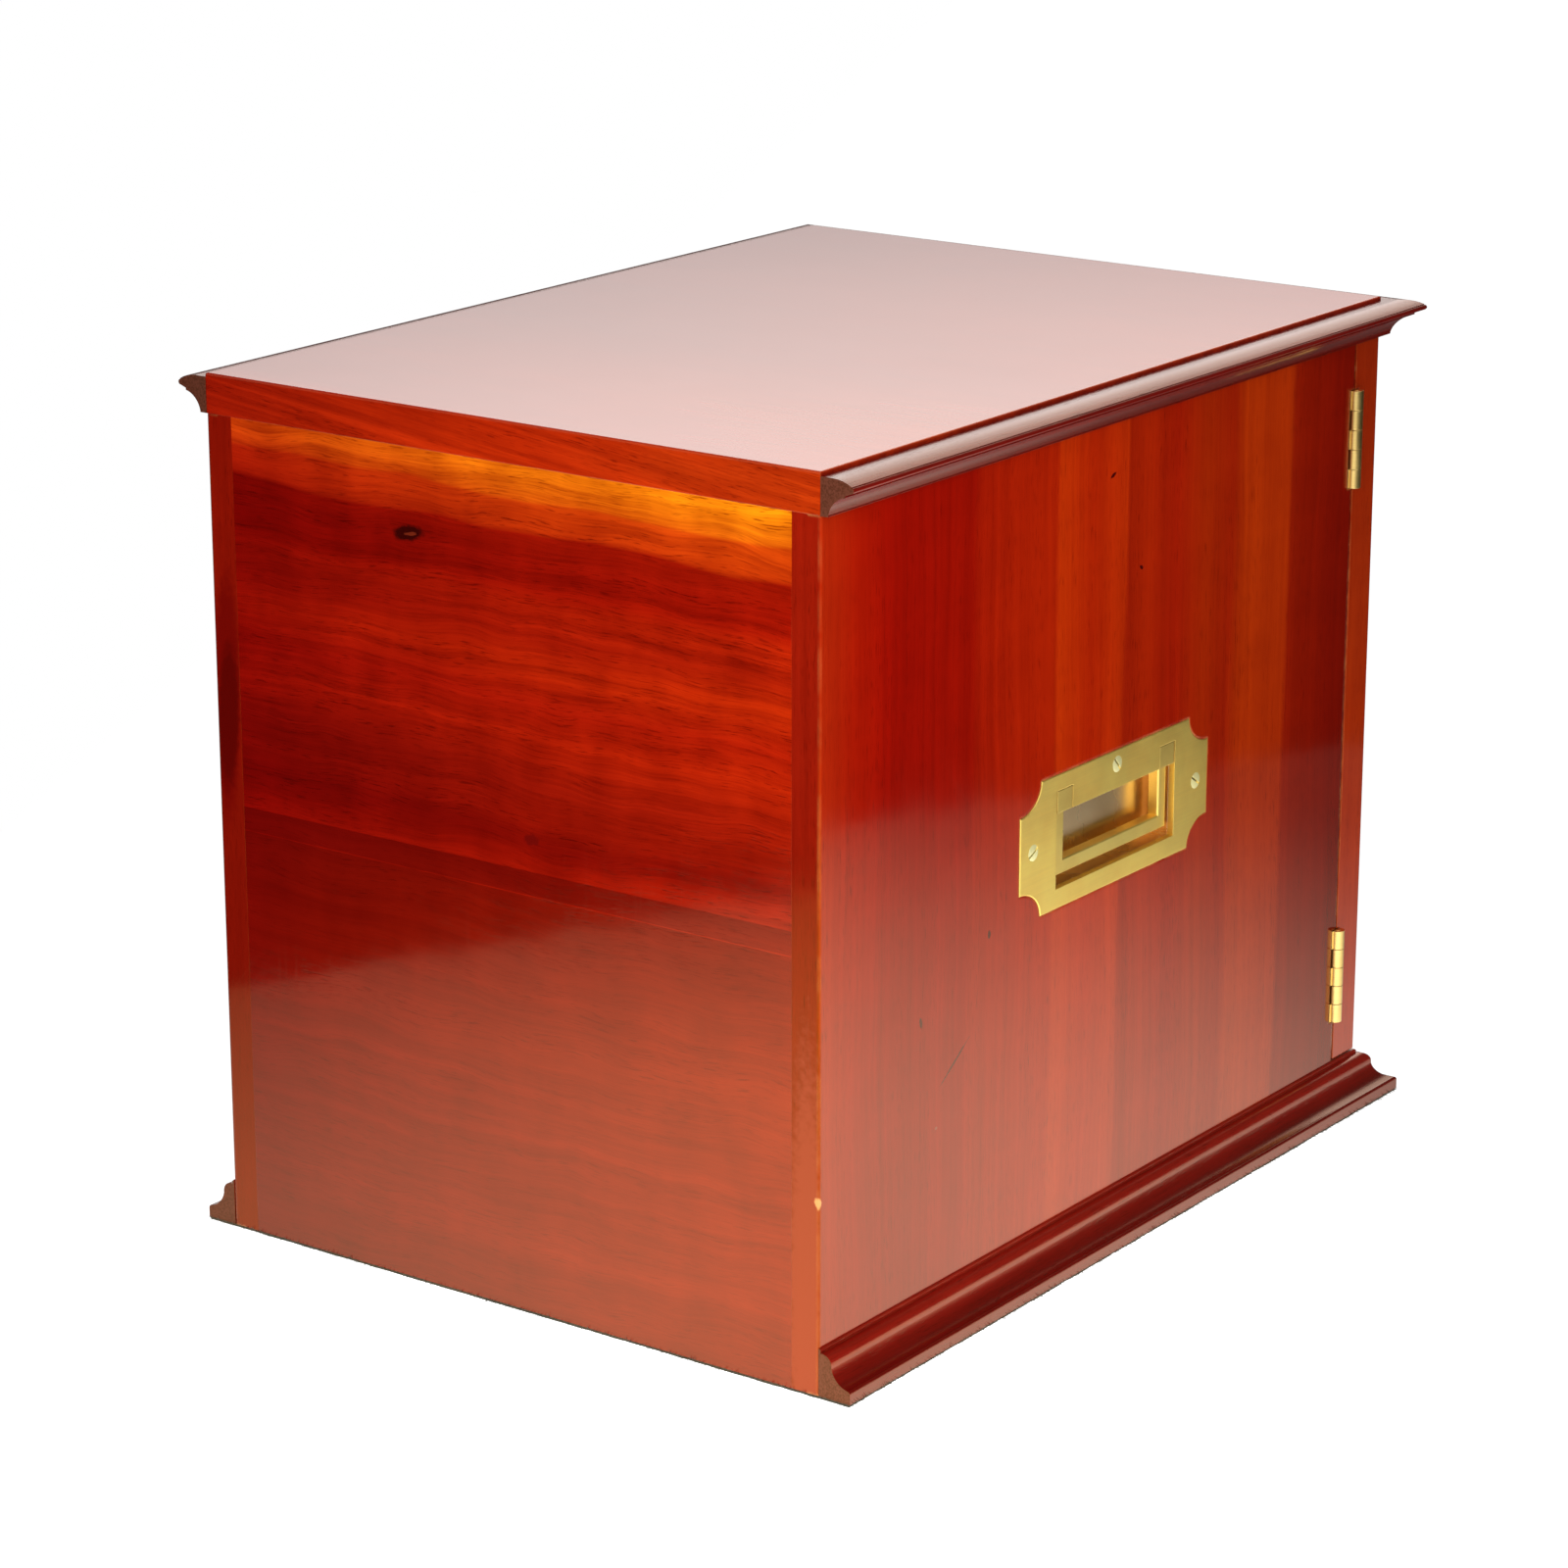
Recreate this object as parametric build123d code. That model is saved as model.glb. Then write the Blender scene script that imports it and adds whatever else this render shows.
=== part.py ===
from build123d import *
import os

# Table-top display cabinet: a mahogany case with a glazed door on the front, a flush
# brass carrying handle on each side, and mouldings round the front and the two sides.
# Frame: millimetres, +Z up, the door faces -Y, +X to the right of a person facing it.
# Origin: the middle of the carcass's plan, on the underside of the baize.

# Carcass
WIDTH = 266.0             # over the two side boards, X
DEPTH = 368.0             # back panel to the front of the door, Y
HEIGHT = 322.0            # carcass alone, without the baize
BAIZE_T = 1.0
TOP_T = 14.6
SIDE_T = 11.4
BACK_T = 9.0
BOTTOM_T = 12.0
ARRIS_R = 0.9             # rubbed outer edges

# Mouldings
FOOT_OUT = 13.0           # how far both mouldings stand out
BASE_H = 17.5
CORNICE_STEP = 1.5        # top board's surface down to the cornice

# Door
DOOR_T = 17.0
DOOR_GAP = 1.0            # between the door's back and the side boards
DOOR_FOOT_GAP = 0.8
DOOR_HEAD_GAP = 1.0
RAIL_W = 34.0             # stiles and rails, seen from the front
REBATE_W = 7.0
REBATE_D = 9.0
GLASS_T = 3.0
GLASS_PLAY = 0.5
STICKING_R = 2.0          # rounded inner edge of the frame

# Butt hinges
HINGE_L = 38.0
HINGE_LEAF_T = 1.2
HINGE_LEAF_REACH = 10.2   # side board's outer face to the leaf's inner edge
HINGE_OUT = 0.6           # pin's axis, out from the side board's face
BARREL_R = 2.75
BARREL_CLEAR_R = 3.05
KNUCKLES = 5
KNUCKLE_PLAY = 0.2
HINGE_PIN_R = 1.2
RUNNING_PLAY = 0.05
UPPER_HINGE_Z = 270.7
LOWER_HINGE_Z = 54.6

# Flush handle, measured from the middle of its plate
PLATE_W = 126.5
PLATE_H = 49.8
PLATE_T = 2.5
PLATE_PROUD = 0.3
PLATE_Z = 161.8           # plate's middle above the ground
NOTCH_W = 13.5            # hollow corners are quarter ellipses
NOTCH_H = 10.6
MOUTH_W = 79.8
MOUTH_LOW = -17.5
MOUTH_HIGH = 10.5
PAN_DEPTH = 9.4           # plate's face to the pan's floor
PAN_FLOOR_T = 0.8
PAN_CHEEK_T = 3.0
PAN_WALL_T = 1.0
PAN_HEAD = 12.0
PAN_SLACK = 0.2           # between the pan and the wood
LUG_IN = 29.6
LUG_OUT = 39.3
LUG_HALF_H = 4.1
LUG_SLOT_IN = 29.4
LUG_SWEEP_R = 5.95        # clears the lug's corner as it turns
PIVOT_Z = 14.6
PIVOT_DEPTH = 4.1
BAIL_OUT = 37.4
BAIL_IN = 32.0
BAIL_LOW = -13.7
BAIL_BAR = 5.5
BAIL_SINK = 2.0           # plate's face to the bail's face
BAIL_T = 4.2
BAIL_PIN_R = 1.0
HANDLE_SCREWS = [(-54.9, 0.0, 50.0), (54.9, 0.0, -35.0), (0.0, 19.5, -50.0)]

# Screws: head radius, head height, shank radius, length
HANDLE_SCREW = (3.05, 1.7, 1.4, 9.5)
HINGE_SCREW = (2.3, 1.2, 1.1, 8.5)
STRIKE_SCREW = (2.2, 1.1, 1.0, 8.0)

# Knob and magnetic catch, at mid height on the door's free side
KNOB_R = 8.5
KNOB_STEM_R = 2.0
KNOB_STEM_L = 12.0
MAGNET_R = 4.0
MAGNET_L = 7.0
STRIKE_R = 5.0
STRIKE_T = 1.4
STRIKE_SUNK = 0.5

# Planes and levels that several pieces share
BASE_Z = BAIZE_T
TOP_Z = BASE_Z + HEIGHT
UNDER_TOP_Z = TOP_Z - TOP_T
BACK_Y = DEPTH / 2
FRONT_Y = -DEPTH / 2
DOOR_BACK_Y = FRONT_Y + DOOR_T
SIDE_FRONT_Y = DOOR_BACK_Y + DOOR_GAP
OUTER_X = WIDTH / 2
INNER_X = OUTER_X - SIDE_T
DOOR_LOW_Z = BASE_Z + BASE_H + DOOR_FOOT_GAP
DOOR_HIGH_Z = UNDER_TOP_Z - DOOR_HEAD_GAP
MID_Z = (DOOR_LOW_Z + DOOR_HIGH_Z) / 2
HINGE_X = -OUTER_X - HINGE_OUT
HINGE_Y = (DOOR_BACK_Y + SIDE_FRONT_Y) / 2
HINGE_SCREW_X = -OUTER_X + SIDE_T / 2 + 0.6
LUG_SLOT_OUT = MOUTH_W / 2


def block(x0, x1, y0, y1, z0, z1):
    """Box between two corners."""
    return Pos((x0 + x1) / 2, (y0 + y1) / 2, (z0 + z1) / 2) * Box(x1 - x0, y1 - y0, z1 - z0)


def turned(solid):
    """The same piece on the other side of the case."""
    return Rot(0, 0, 180) * solid


def edges_along(solid, axis, keep):
    """Edges parallel to an axis whose middle passes the test keep."""
    return [e for e in solid.edges().filter_by(axis) if keep(e.center())]


def screw_blank(sizes):
    """Countersunk wood screw without its slot, head at the origin, shank along +Z."""
    head_r, head_h, shank_r, length = sizes
    head = Pos(0, 0, head_h / 2) * Cone(head_r, shank_r, head_h)
    shank = Pos(0, 0, (head_h + length) / 2) * Cylinder(shank_r, length - head_h)
    return head + shank


def screw(sizes, turn=0.0):
    """The same screw with a slot across its head, turned by an angle in degrees."""
    head_r = sizes[0]
    slot = Rot(0, 0, turn) * Box(2 * head_r + 1, 0.2 * head_r, 1.1)
    return screw_blank(sizes) - slot


# ---------------------------------------------------------------- mouldings

def cornice_profile():
    """Thumb on top, a bead at the nose, a cove beneath; x outwards, y up from its foot."""
    height = TOP_T - CORNICE_STEP
    foot = 3.0
    cove_top = (9.6, 7.2)
    outline = [
        Line((0, 0), (foot, 0)),
        Line((foot, 0), (foot, 0.6)),
        RadiusArc((foot, 0.6), cove_top, 8.5),
        Line(cove_top, (cove_top[0], 7.9)),
        Line((cove_top[0], 7.9), (FOOT_OUT - 1.0, 8.8)),
        RadiusArc((FOOT_OUT - 1.0, 8.8), (FOOT_OUT - 1.0, 10.8), -1.0),
        Line((FOOT_OUT - 1.0, 10.8), (FOOT_OUT - 0.7, 11.0)),
        RadiusArc((FOOT_OUT - 0.7, 11.0), (5.0, height), -13.7),
        Line((5.0, height), (0, height)),
        Line((0, height), (0, 0)),
    ]
    return make_face(outline)


def base_profile():
    """Quirk and ovolo on top, a cove, and a foot with a rounded shoulder."""
    shoulder_r = 1.2
    waist = (5.3, 11.3)
    outline = [
        Line((0, 0), (FOOT_OUT, 0)),
        Line((FOOT_OUT, 0), (FOOT_OUT, 4.8 - shoulder_r)),
        RadiusArc((FOOT_OUT, 4.8 - shoulder_r), (FOOT_OUT - shoulder_r, 4.8), -shoulder_r),
        RadiusArc((FOOT_OUT - shoulder_r, 4.8), waist, 8.5),
        Line(waist, (waist[0], 12.1)),
        RadiusArc((waist[0], 12.1), (1.5, 15.9), -3.8),
        Line((1.5, 15.9), (0.8, 15.9)),
        Line((0.8, 15.9), (0.8, BASE_H - 0.5)),
        Line((0.8, BASE_H - 0.5), (0.3, BASE_H)),
        Line((0.3, BASE_H), (0, BASE_H)),
        Line((0, BASE_H), (0, 0)),
    ]
    return make_face(outline)


def mitre_wedge(corner_x, third):
    """Triangle beyond the 45 degree line through a front corner, as tall as the case."""
    reach = 2 * FOOT_OUT
    out = reach if corner_x > 0 else -reach
    tip = (corner_x + out, FRONT_Y - reach)
    points = [(corner_x, FRONT_Y), tip, third(out, reach)]
    return extrude(make_face(Polyline(*points, close=True)), TOP_Z)


def left_moulding(profile, foot_z):
    """Run along the left side: square at the back, mitred at the front."""
    plane = Plane(origin=(-OUTER_X, BACK_Y, foot_z), x_dir=(-1, 0, 0), z_dir=(0, 1, 0))
    run = extrude(plane * profile, -(DEPTH + FOOT_OUT))
    return run - mitre_wedge(-OUTER_X, lambda out, reach: (-OUTER_X, FRONT_Y - reach))


def front_moulding(profile, foot_z):
    """Run along the front, mitred at both ends."""
    plane = Plane(origin=(OUTER_X + FOOT_OUT, FRONT_Y, foot_z), x_dir=(0, -1, 0), z_dir=(-1, 0, 0))
    run = extrude(plane * profile, WIDTH + 2 * FOOT_OUT)
    for corner_x in (-OUTER_X, OUTER_X):
        run -= mitre_wedge(corner_x, lambda out, reach: (corner_x + out, FRONT_Y))
    return run


def mouldings():
    pieces = {}
    runs = {"cornice": (cornice_profile(), UNDER_TOP_Z), "base_moulding": (base_profile(), BASE_Z)}
    for name, (profile, foot_z) in runs.items():
        left = left_moulding(profile, foot_z)
        pieces[f"{name}_left"] = left
        pieces[f"{name}_right"] = mirror(left, Plane.YZ)
        pieces[f"{name}_front"] = front_moulding(profile, foot_z)
    return pieces


# ------------------------------------------------------------- flush handles

HANDLE_PLANE = Plane(
    origin=(-OUTER_X - PLATE_PROUD, 0, PLATE_Z), x_dir=(0, 1, 0), z_dir=(1, 0, 0)
)


def plate_blank():
    """Plate outline with hollow corners, as a slab; local z is depth behind the face."""
    outline = Rectangle(PLATE_W, PLATE_H)
    for side in (-1, 1):
        for end in (-1, 1):
            outline -= Pos(side * PLATE_W / 2, end * PLATE_H / 2) * Ellipse(NOTCH_W, NOTCH_H)
    return extrude(outline, PLATE_T)


def both_ends(inner, outer, low, high, near, far):
    """A pair of blocks, one towards each end of the handle."""
    block_right = block(inner, outer, low, high, near, far)
    return block_right + mirror(block_right, Plane.YZ)


def rod_at_pivot(radius, inner, outer):
    """A pair of cylinders along the bail's pivot line, one at each end."""
    rod = Pos((inner + outer) / 2, PIVOT_Z, PIVOT_DEPTH) * Rot(0, 90, 0) * Cylinder(radius, outer - inner)
    return rod + mirror(rod, Plane.YZ)


def screws_on_plate(make):
    return [Pos(a, b, 0) * make(turn) for a, b, turn in HANDLE_SCREWS]


def handle_plate():
    plate = plate_blank()
    rim = plate.faces().sort_by(Axis.Z)[0].edges()
    plate = chamfer(rim, 0.3)
    mouth = block(-MOUTH_W / 2, MOUTH_W / 2, MOUTH_LOW, MOUTH_HIGH, -1, PLATE_T + 1)
    plate = plate - mouth - rod_at_pivot(LUG_SWEEP_R, LUG_SLOT_IN, LUG_SLOT_OUT)
    for blank in screws_on_plate(lambda turn: screw_blank(HANDLE_SCREW)):
        plate -= blank
    return plate


def pan_envelope(slack):
    """Outside of the pan: a tray with a raised pocket behind each lug."""
    cheek = MOUTH_W / 2 + PAN_CHEEK_T + slack
    floor = PAN_DEPTH + PAN_FLOOR_T + slack
    low = MOUTH_LOW - PAN_WALL_T - slack
    head = PAN_HEAD + PAN_WALL_T + slack
    crown = PIVOT_Z + LUG_SWEEP_R + PAN_WALL_T + slack + 0.2
    tray = block(-cheek, cheek, low, head, PLATE_T, floor)
    return tray + both_ends(LUG_SLOT_IN - 1.5 - slack, cheek, PAN_HEAD, crown, PLATE_T, floor)


def handle_pan():
    hollow = block(-MOUTH_W / 2, MOUTH_W / 2, MOUTH_LOW, PAN_HEAD, PLATE_T, PAN_DEPTH)
    crown = PIVOT_Z + LUG_SWEEP_R + 0.2
    hollow += both_ends(LUG_SLOT_IN - 0.5, MOUTH_W / 2, PAN_HEAD, crown, PLATE_T, PAN_DEPTH)
    return pan_envelope(0) - hollow - rod_at_pivot(BAIL_PIN_R, LUG_OUT, MOUTH_W / 2 + PAN_CHEEK_T)


def handle_bail():
    """Flat U-shaped bail with a broad lug at the top of each arm, level with the plate."""
    near = BAIL_SINK
    far = BAIL_SINK + BAIL_T
    slab = block(-BAIL_OUT, BAIL_OUT, BAIL_LOW, PIVOT_Z, near, far)
    gap = block(-BAIL_IN, BAIL_IN, BAIL_LOW + BAIL_BAR, PIVOT_Z + 1, near - 1, far + 1)
    bail = slab - gap
    shown = bail.faces().sort_by(Axis.Z)[0].edges()
    bail = chamfer(shown, 0.5)
    bail += both_ends(LUG_IN, LUG_OUT, PIVOT_Z - LUG_HALF_H, PIVOT_Z + LUG_HALF_H, 0.05, far)
    return bail - rod_at_pivot(BAIL_PIN_R + RUNNING_PLAY, LUG_IN - 1, LUG_OUT + 1)


def handle_pocket():
    """Everything that a handle takes out of a side board."""
    pocket = plate_blank() + pan_envelope(PAN_SLACK)
    for blank in screws_on_plate(lambda turn: screw_blank(HANDLE_SCREW)):
        pocket += blank
    return HANDLE_PLANE * pocket


def handles():
    made = {
        "handle_plate": HANDLE_PLANE * handle_plate(),
        "handle_pan": HANDLE_PLANE * handle_pan(),
        "handle_bail": HANDLE_PLANE * handle_bail(),
        "handle_pins": HANDLE_PLANE * rod_at_pivot(BAIL_PIN_R, LUG_IN + 0.9, MOUTH_W / 2 + PAN_CHEEK_T),
    }
    pieces = {}
    for name, left in made.items():
        pieces[f"{name}_left"] = left
        pieces[f"{name}_right"] = turned(left)
    one_side = [HANDLE_PLANE * s for s in screws_on_plate(lambda turn: screw(HANDLE_SCREW, turn))]
    pieces["handle_screws"] = Compound(children=one_side + [turned(s) for s in one_side])
    return pieces


# -------------------------------------------------------------------- hinges

def knuckle_span(index):
    """Low and high z of one knuckle, from the hinge's middle."""
    pitch = HINGE_L / KNUCKLES
    low = -HINGE_L / 2 + index * pitch
    return low + KNUCKLE_PLAY / 2, low + pitch - KNUCKLE_PLAY / 2


def barrel(radius, low, high):
    return Pos(HINGE_X, HINGE_Y, (low + high) / 2) * Cylinder(radius, high - low)


def hinge_half(y0, y1, own, web_y):
    """A leaf between two y planes with its own knuckles, notched for the other's."""
    half = HINGE_L / 2
    pitch = HINGE_L / KNUCKLES
    leaf = block(HINGE_X, -OUTER_X + HINGE_LEAF_REACH, y0, y1, -half, half)
    for index in range(KNUCKLES):
        low, high = knuckle_span(index)
        if index in own:
            leaf += barrel(BARREL_R, low, high)
            leaf += block(HINGE_X + 0.4, HINGE_X + 4.0, min(HINGE_Y, web_y), max(HINGE_Y, web_y), low, high)
        else:
            middle = (low + high) / 2
            notch = pitch / 2 + KNUCKLE_PLAY / 2
            leaf -= barrel(BARREL_CLEAR_R, middle - notch, middle + notch)
    return leaf


def case_leaf():
    leaf = hinge_half(SIDE_FRONT_Y, SIDE_FRONT_Y + HINGE_LEAF_T, (0, 2, 4), HINGE_Y + 3.3)
    return leaf - barrel(HINGE_PIN_R, -HINGE_L, HINGE_L)


def door_leaf():
    leaf = hinge_half(DOOR_BACK_Y - HINGE_LEAF_T, DOOR_BACK_Y, (1, 3), DOOR_BACK_Y - HINGE_LEAF_T)
    return leaf - barrel(HINGE_PIN_R + RUNNING_PLAY, -HINGE_L, HINGE_L)


def hinge_screws(make, face_y, into):
    """Two screws for one leaf; into is +1 for screws that run towards +Y."""
    placed = []
    for z in (-HINGE_L / 4, HINGE_L / 4):
        plane = Plane(origin=(HINGE_SCREW_X, face_y, z), x_dir=(1, 0, 0), z_dir=(0, into, 0))
        placed.append(plane * make())
    return placed


def hinges():
    pieces = {}
    case_screws = []
    door_screws = []
    case_half = case_leaf()
    door_half = door_leaf()
    for blank in hinge_screws(lambda: screw_blank(HINGE_SCREW), SIDE_FRONT_Y, 1):
        case_half -= blank
    for blank in hinge_screws(lambda: screw_blank(HINGE_SCREW), DOOR_BACK_Y, -1):
        door_half -= blank
    for name, z in (("upper", UPPER_HINGE_Z), ("lower", LOWER_HINGE_Z)):
        pieces[f"hinge_case_leaf_{name}"] = Pos(0, 0, z) * case_half
        pieces[f"hinge_door_leaf_{name}"] = Pos(0, 0, z) * door_half
        pieces[f"hinge_pin_{name}"] = Pos(0, 0, z) * barrel(HINGE_PIN_R, -HINGE_L / 2, HINGE_L / 2)
        case_screws += [Pos(0, 0, z) * s for s in hinge_screws(lambda: screw(HINGE_SCREW, 20), SIDE_FRONT_Y, 1)]
        door_screws += [Pos(0, 0, z) * s for s in hinge_screws(lambda: screw(HINGE_SCREW, 70), DOOR_BACK_Y, -1)]
    pieces["hinge_case_screws"] = Compound(children=case_screws)
    pieces["hinge_door_screws"] = Compound(children=door_screws)
    return pieces


def hinge_pocket(leaf_y0, leaf_y1, web_y):
    """What one hinge takes out of a side board or a stile."""
    tall = HINGE_L / 2 + 0.2
    pocket = block(-OUTER_X - 5, -OUTER_X + HINGE_LEAF_REACH, leaf_y0, leaf_y1, -tall, tall)
    pocket += barrel(BARREL_CLEAR_R, -tall, tall)
    if web_y > HINGE_Y:
        pocket += block(-OUTER_X - 5, HINGE_X + 4.2, HINGE_Y, web_y, -tall, tall)
    return pocket


def cut_hinges(wood, leaf_y0, leaf_y1, web_y, face_y, into):
    for z in (UPPER_HINGE_Z, LOWER_HINGE_Z):
        wood -= Pos(0, 0, z) * hinge_pocket(leaf_y0, leaf_y1, web_y)
        for blank in hinge_screws(lambda: screw_blank(HINGE_SCREW), face_y, into):
            wood -= Pos(0, 0, z) * blank
    return wood


# ------------------------------------------------------------------- carcass

def magnet_place(face_y, into):
    """Plane on the catch's line, on the right side board's front edge."""
    return Plane(origin=(OUTER_X - SIDE_T / 2, face_y, MID_Z), x_dir=(1, 0, 0), z_dir=(0, into, 0))


def rod(radius, length):
    """Cylinder from the origin along +Z."""
    return Pos(0, 0, length / 2) * Cylinder(radius, length)


def side_board(sign):
    """One side board, its outer edges rubbed round and its handle pocket cut."""
    inner, outer = sorted((sign * INNER_X, sign * OUTER_X))
    board = block(inner, outer, SIDE_FRONT_Y, BACK_Y, BASE_Z, UNDER_TOP_Z)
    rubbed = edges_along(board, Axis.Z, lambda c: abs(c.X) > INNER_X + 1 and c.Y > 0)
    board = fillet(rubbed, ARRIS_R)
    pocket = handle_pocket()
    return board - (pocket if sign < 0 else turned(pocket))


def carcass():
    top = block(-OUTER_X, OUTER_X, FRONT_Y, BACK_Y, UNDER_TOP_Z, TOP_Z)
    top = fillet(top.faces().sort_by(Axis.Z)[-1].edges(), ARRIS_R)
    left = side_board(-1)
    left = cut_hinges(left, SIDE_FRONT_Y, SIDE_FRONT_Y + HINGE_LEAF_T, HINGE_Y + 3.5, SIDE_FRONT_Y, 1)
    right = side_board(1) - magnet_place(SIDE_FRONT_Y, 1) * rod(MAGNET_R, MAGNET_L)
    inner_back_y = BACK_Y - BACK_T
    foot = 2 * (FOOT_OUT - 0.5)
    baize = Pos(0, -FOOT_OUT / 2, BAIZE_T / 2) * Box(WIDTH + foot, DEPTH + foot / 2, BAIZE_T)
    return {
        "top_board": top,
        "left_side": left,
        "right_side": right,
        "back_panel": block(-INNER_X, INNER_X, inner_back_y, BACK_Y, BASE_Z, UNDER_TOP_Z),
        "bottom_board": block(-INNER_X, INNER_X, SIDE_FRONT_Y, inner_back_y, BASE_Z, BASE_Z + BOTTOM_T),
        "plinth_rail": block(-OUTER_X, OUTER_X, FRONT_Y, SIDE_FRONT_Y, BASE_Z, BASE_Z + BASE_H),
        "base_baize": baize,
    }


# ---------------------------------------------------------------------- door

def door_frame():
    """Whole frame before it is parted into stiles and rails."""
    sight_x = OUTER_X - RAIL_W
    low = DOOR_LOW_Z + RAIL_W
    high = DOOR_HIGH_Z - RAIL_W
    frame = block(-OUTER_X, OUTER_X, FRONT_Y, DOOR_BACK_Y, DOOR_LOW_Z, DOOR_HIGH_Z)
    frame -= block(-sight_x, sight_x, FRONT_Y - 1, DOOR_BACK_Y + 1, low, high)
    front = frame.faces().sort_by(Axis.Y)[0]
    sight_edges = front.inner_wires()[0].edges()
    frame = fillet(sight_edges, STICKING_R)
    outer_edges = edges_along(frame, Axis.Z, lambda c: abs(c.X) > OUTER_X - 1 and c.Y < FRONT_Y + 1)
    frame = fillet(outer_edges, ARRIS_R)
    rebate = block(
        -sight_x - REBATE_W, sight_x + REBATE_W, DOOR_BACK_Y - REBATE_D, DOOR_BACK_Y + 1,
        low - REBATE_W, high + REBATE_W,
    )
    return frame - rebate


def rail_zone():
    """Where the rails are: between the stiles, stepped at the rebate, with tenons."""
    sight_x = OUTER_X - RAIL_W
    step_y = DOOR_BACK_Y - REBATE_D
    zone = block(-sight_x, sight_x, FRONT_Y - 1, step_y, 0, TOP_Z)
    zone += block(-sight_x - REBATE_W, sight_x + REBATE_W, step_y, DOOR_BACK_Y + 1, 0, TOP_Z)
    for middle in (DOOR_LOW_Z + RAIL_W / 2 - 3, DOOR_HIGH_Z - RAIL_W / 2 + 3):
        tenon = block(-OUTER_X + 12, OUTER_X - 12, step_y - 2, step_y + 4, middle - 8, middle + 8)
        zone += tenon
    return zone


def knob():
    """Turned knob with a rose, drawn as half a section and spun about its stem."""
    rim_y = 12.4
    crown = 5.1
    dome_r = (KNOB_R ** 2 + crown ** 2) / (2 * crown)
    outline = [
        Line((0, -KNOB_STEM_L), (KNOB_STEM_R, -KNOB_STEM_L)),
        Line((KNOB_STEM_R, -KNOB_STEM_L), (KNOB_STEM_R, 0)),
        Line((KNOB_STEM_R, 0), (7.5, 0)),
        RadiusArc((7.5, 0), (6.3, 1.8), -2.5),
        Line((6.3, 1.8), (4.2, 2.2)),
        RadiusArc((4.2, 2.2), (4.4, 8.6), 7.0),
        RadiusArc((4.4, 8.6), (KNOB_R, rim_y), -3.2),
        RadiusArc((KNOB_R, rim_y), (0, rim_y + crown), -dome_r),
        Line((0, rim_y + crown), (0, -KNOB_STEM_L)),
    ]
    turned_knob = revolve(Plane.XZ * make_face(outline), Axis.Z)
    return Plane(origin=(OUTER_X - RAIL_W / 2, FRONT_Y, MID_Z), z_dir=(0, -1, 0)) * turned_knob


def glazing():
    """The pane and the four beads that hold it against the frame's lip."""
    half_x = OUTER_X - RAIL_W + REBATE_W
    low = DOOR_LOW_Z + RAIL_W - REBATE_W
    high = DOOR_HIGH_Z - RAIL_W + REBATE_W
    lip_y = DOOR_BACK_Y - REBATE_D
    bead_y = lip_y + GLASS_T
    play = GLASS_PLAY
    pane = block(-half_x + play, half_x - play, lip_y, bead_y, low + play, high - play)
    bead_right = block(half_x - REBATE_W, half_x, bead_y, DOOR_BACK_Y, low + REBATE_W, high - REBATE_W)
    bead_top = block(-half_x, half_x, bead_y, DOOR_BACK_Y, high - REBATE_W, high)
    bead_bottom = block(-half_x, half_x, bead_y, DOOR_BACK_Y, low, low + REBATE_W)
    return {
        "door_glass": pane,
        "glazing_bead_right": bead_right,
        "glazing_bead_left": mirror(bead_right, Plane.YZ),
        "glazing_bead_top": bead_top,
        "glazing_bead_bottom": bead_bottom,
    }


def door():
    frame = door_frame()
    zone = rail_zone()
    rails = frame & zone
    stiles = frame - zone
    upper = block(-OUTER_X, OUTER_X, FRONT_Y, DOOR_BACK_Y, MID_Z, TOP_Z)
    left_half = block(-OUTER_X, 0, FRONT_Y, DOOR_BACK_Y, 0, TOP_Z)
    left_stile = stiles & left_half
    left_stile = cut_hinges(
        left_stile, DOOR_BACK_Y - HINGE_LEAF_T, DOOR_BACK_Y, DOOR_BACK_Y, DOOR_BACK_Y, -1
    )
    strike_face = DOOR_BACK_Y - STRIKE_SUNK + STRIKE_T
    strike_place = magnet_place(strike_face, -1)
    strike_screw_hole = strike_place * screw_blank(STRIKE_SCREW)
    knob_hole = Plane(origin=(OUTER_X - RAIL_W / 2, FRONT_Y, MID_Z), z_dir=(0, 1, 0)) * rod(
        KNOB_STEM_R, KNOB_STEM_L
    )
    right_stile = (stiles - left_half) - knob_hole - strike_screw_hole
    right_stile -= strike_place * rod(STRIKE_R, STRIKE_T)
    pieces = {
        "door_left_stile": left_stile,
        "door_right_stile": right_stile,
        "door_top_rail": rails & upper,
        "door_bottom_rail": rails - upper,
        "door_knob": knob(),
        "catch_magnet": magnet_place(SIDE_FRONT_Y, 1) * rod(MAGNET_R, MAGNET_L),
        "catch_strike": strike_place * rod(STRIKE_R, STRIKE_T) - strike_screw_hole,
        "catch_strike_screw": strike_place * screw(STRIKE_SCREW, 30),
    }
    pieces.update(glazing())
    return pieces


os.makedirs("parts", exist_ok=True)
model = {}
for group in (carcass, mouldings, door, hinges, handles):
    model.update(group())
for node, shape in model.items():
    export_step(shape, f"parts/{node}.step")
print(len(model), "nodes written")
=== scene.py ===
# %% [markdown]
# # A French-polished mahogany display case
#
# The case is a small cabinet with a glazed door, a brass lifting handle let into each side and a moulding
# at its top and foot. Its shape is already drawn and packed, so this lesson is about what a cabinet maker
# does last: the polish on the wood, the lacquer on the brass, the screws, and the cloth under the foot.
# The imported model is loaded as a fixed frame, and every piece made here takes its place from it.

# %% Load the frame
import math
import random

import bmesh
import bpy
from mathutils import Matrix, Vector


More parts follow.
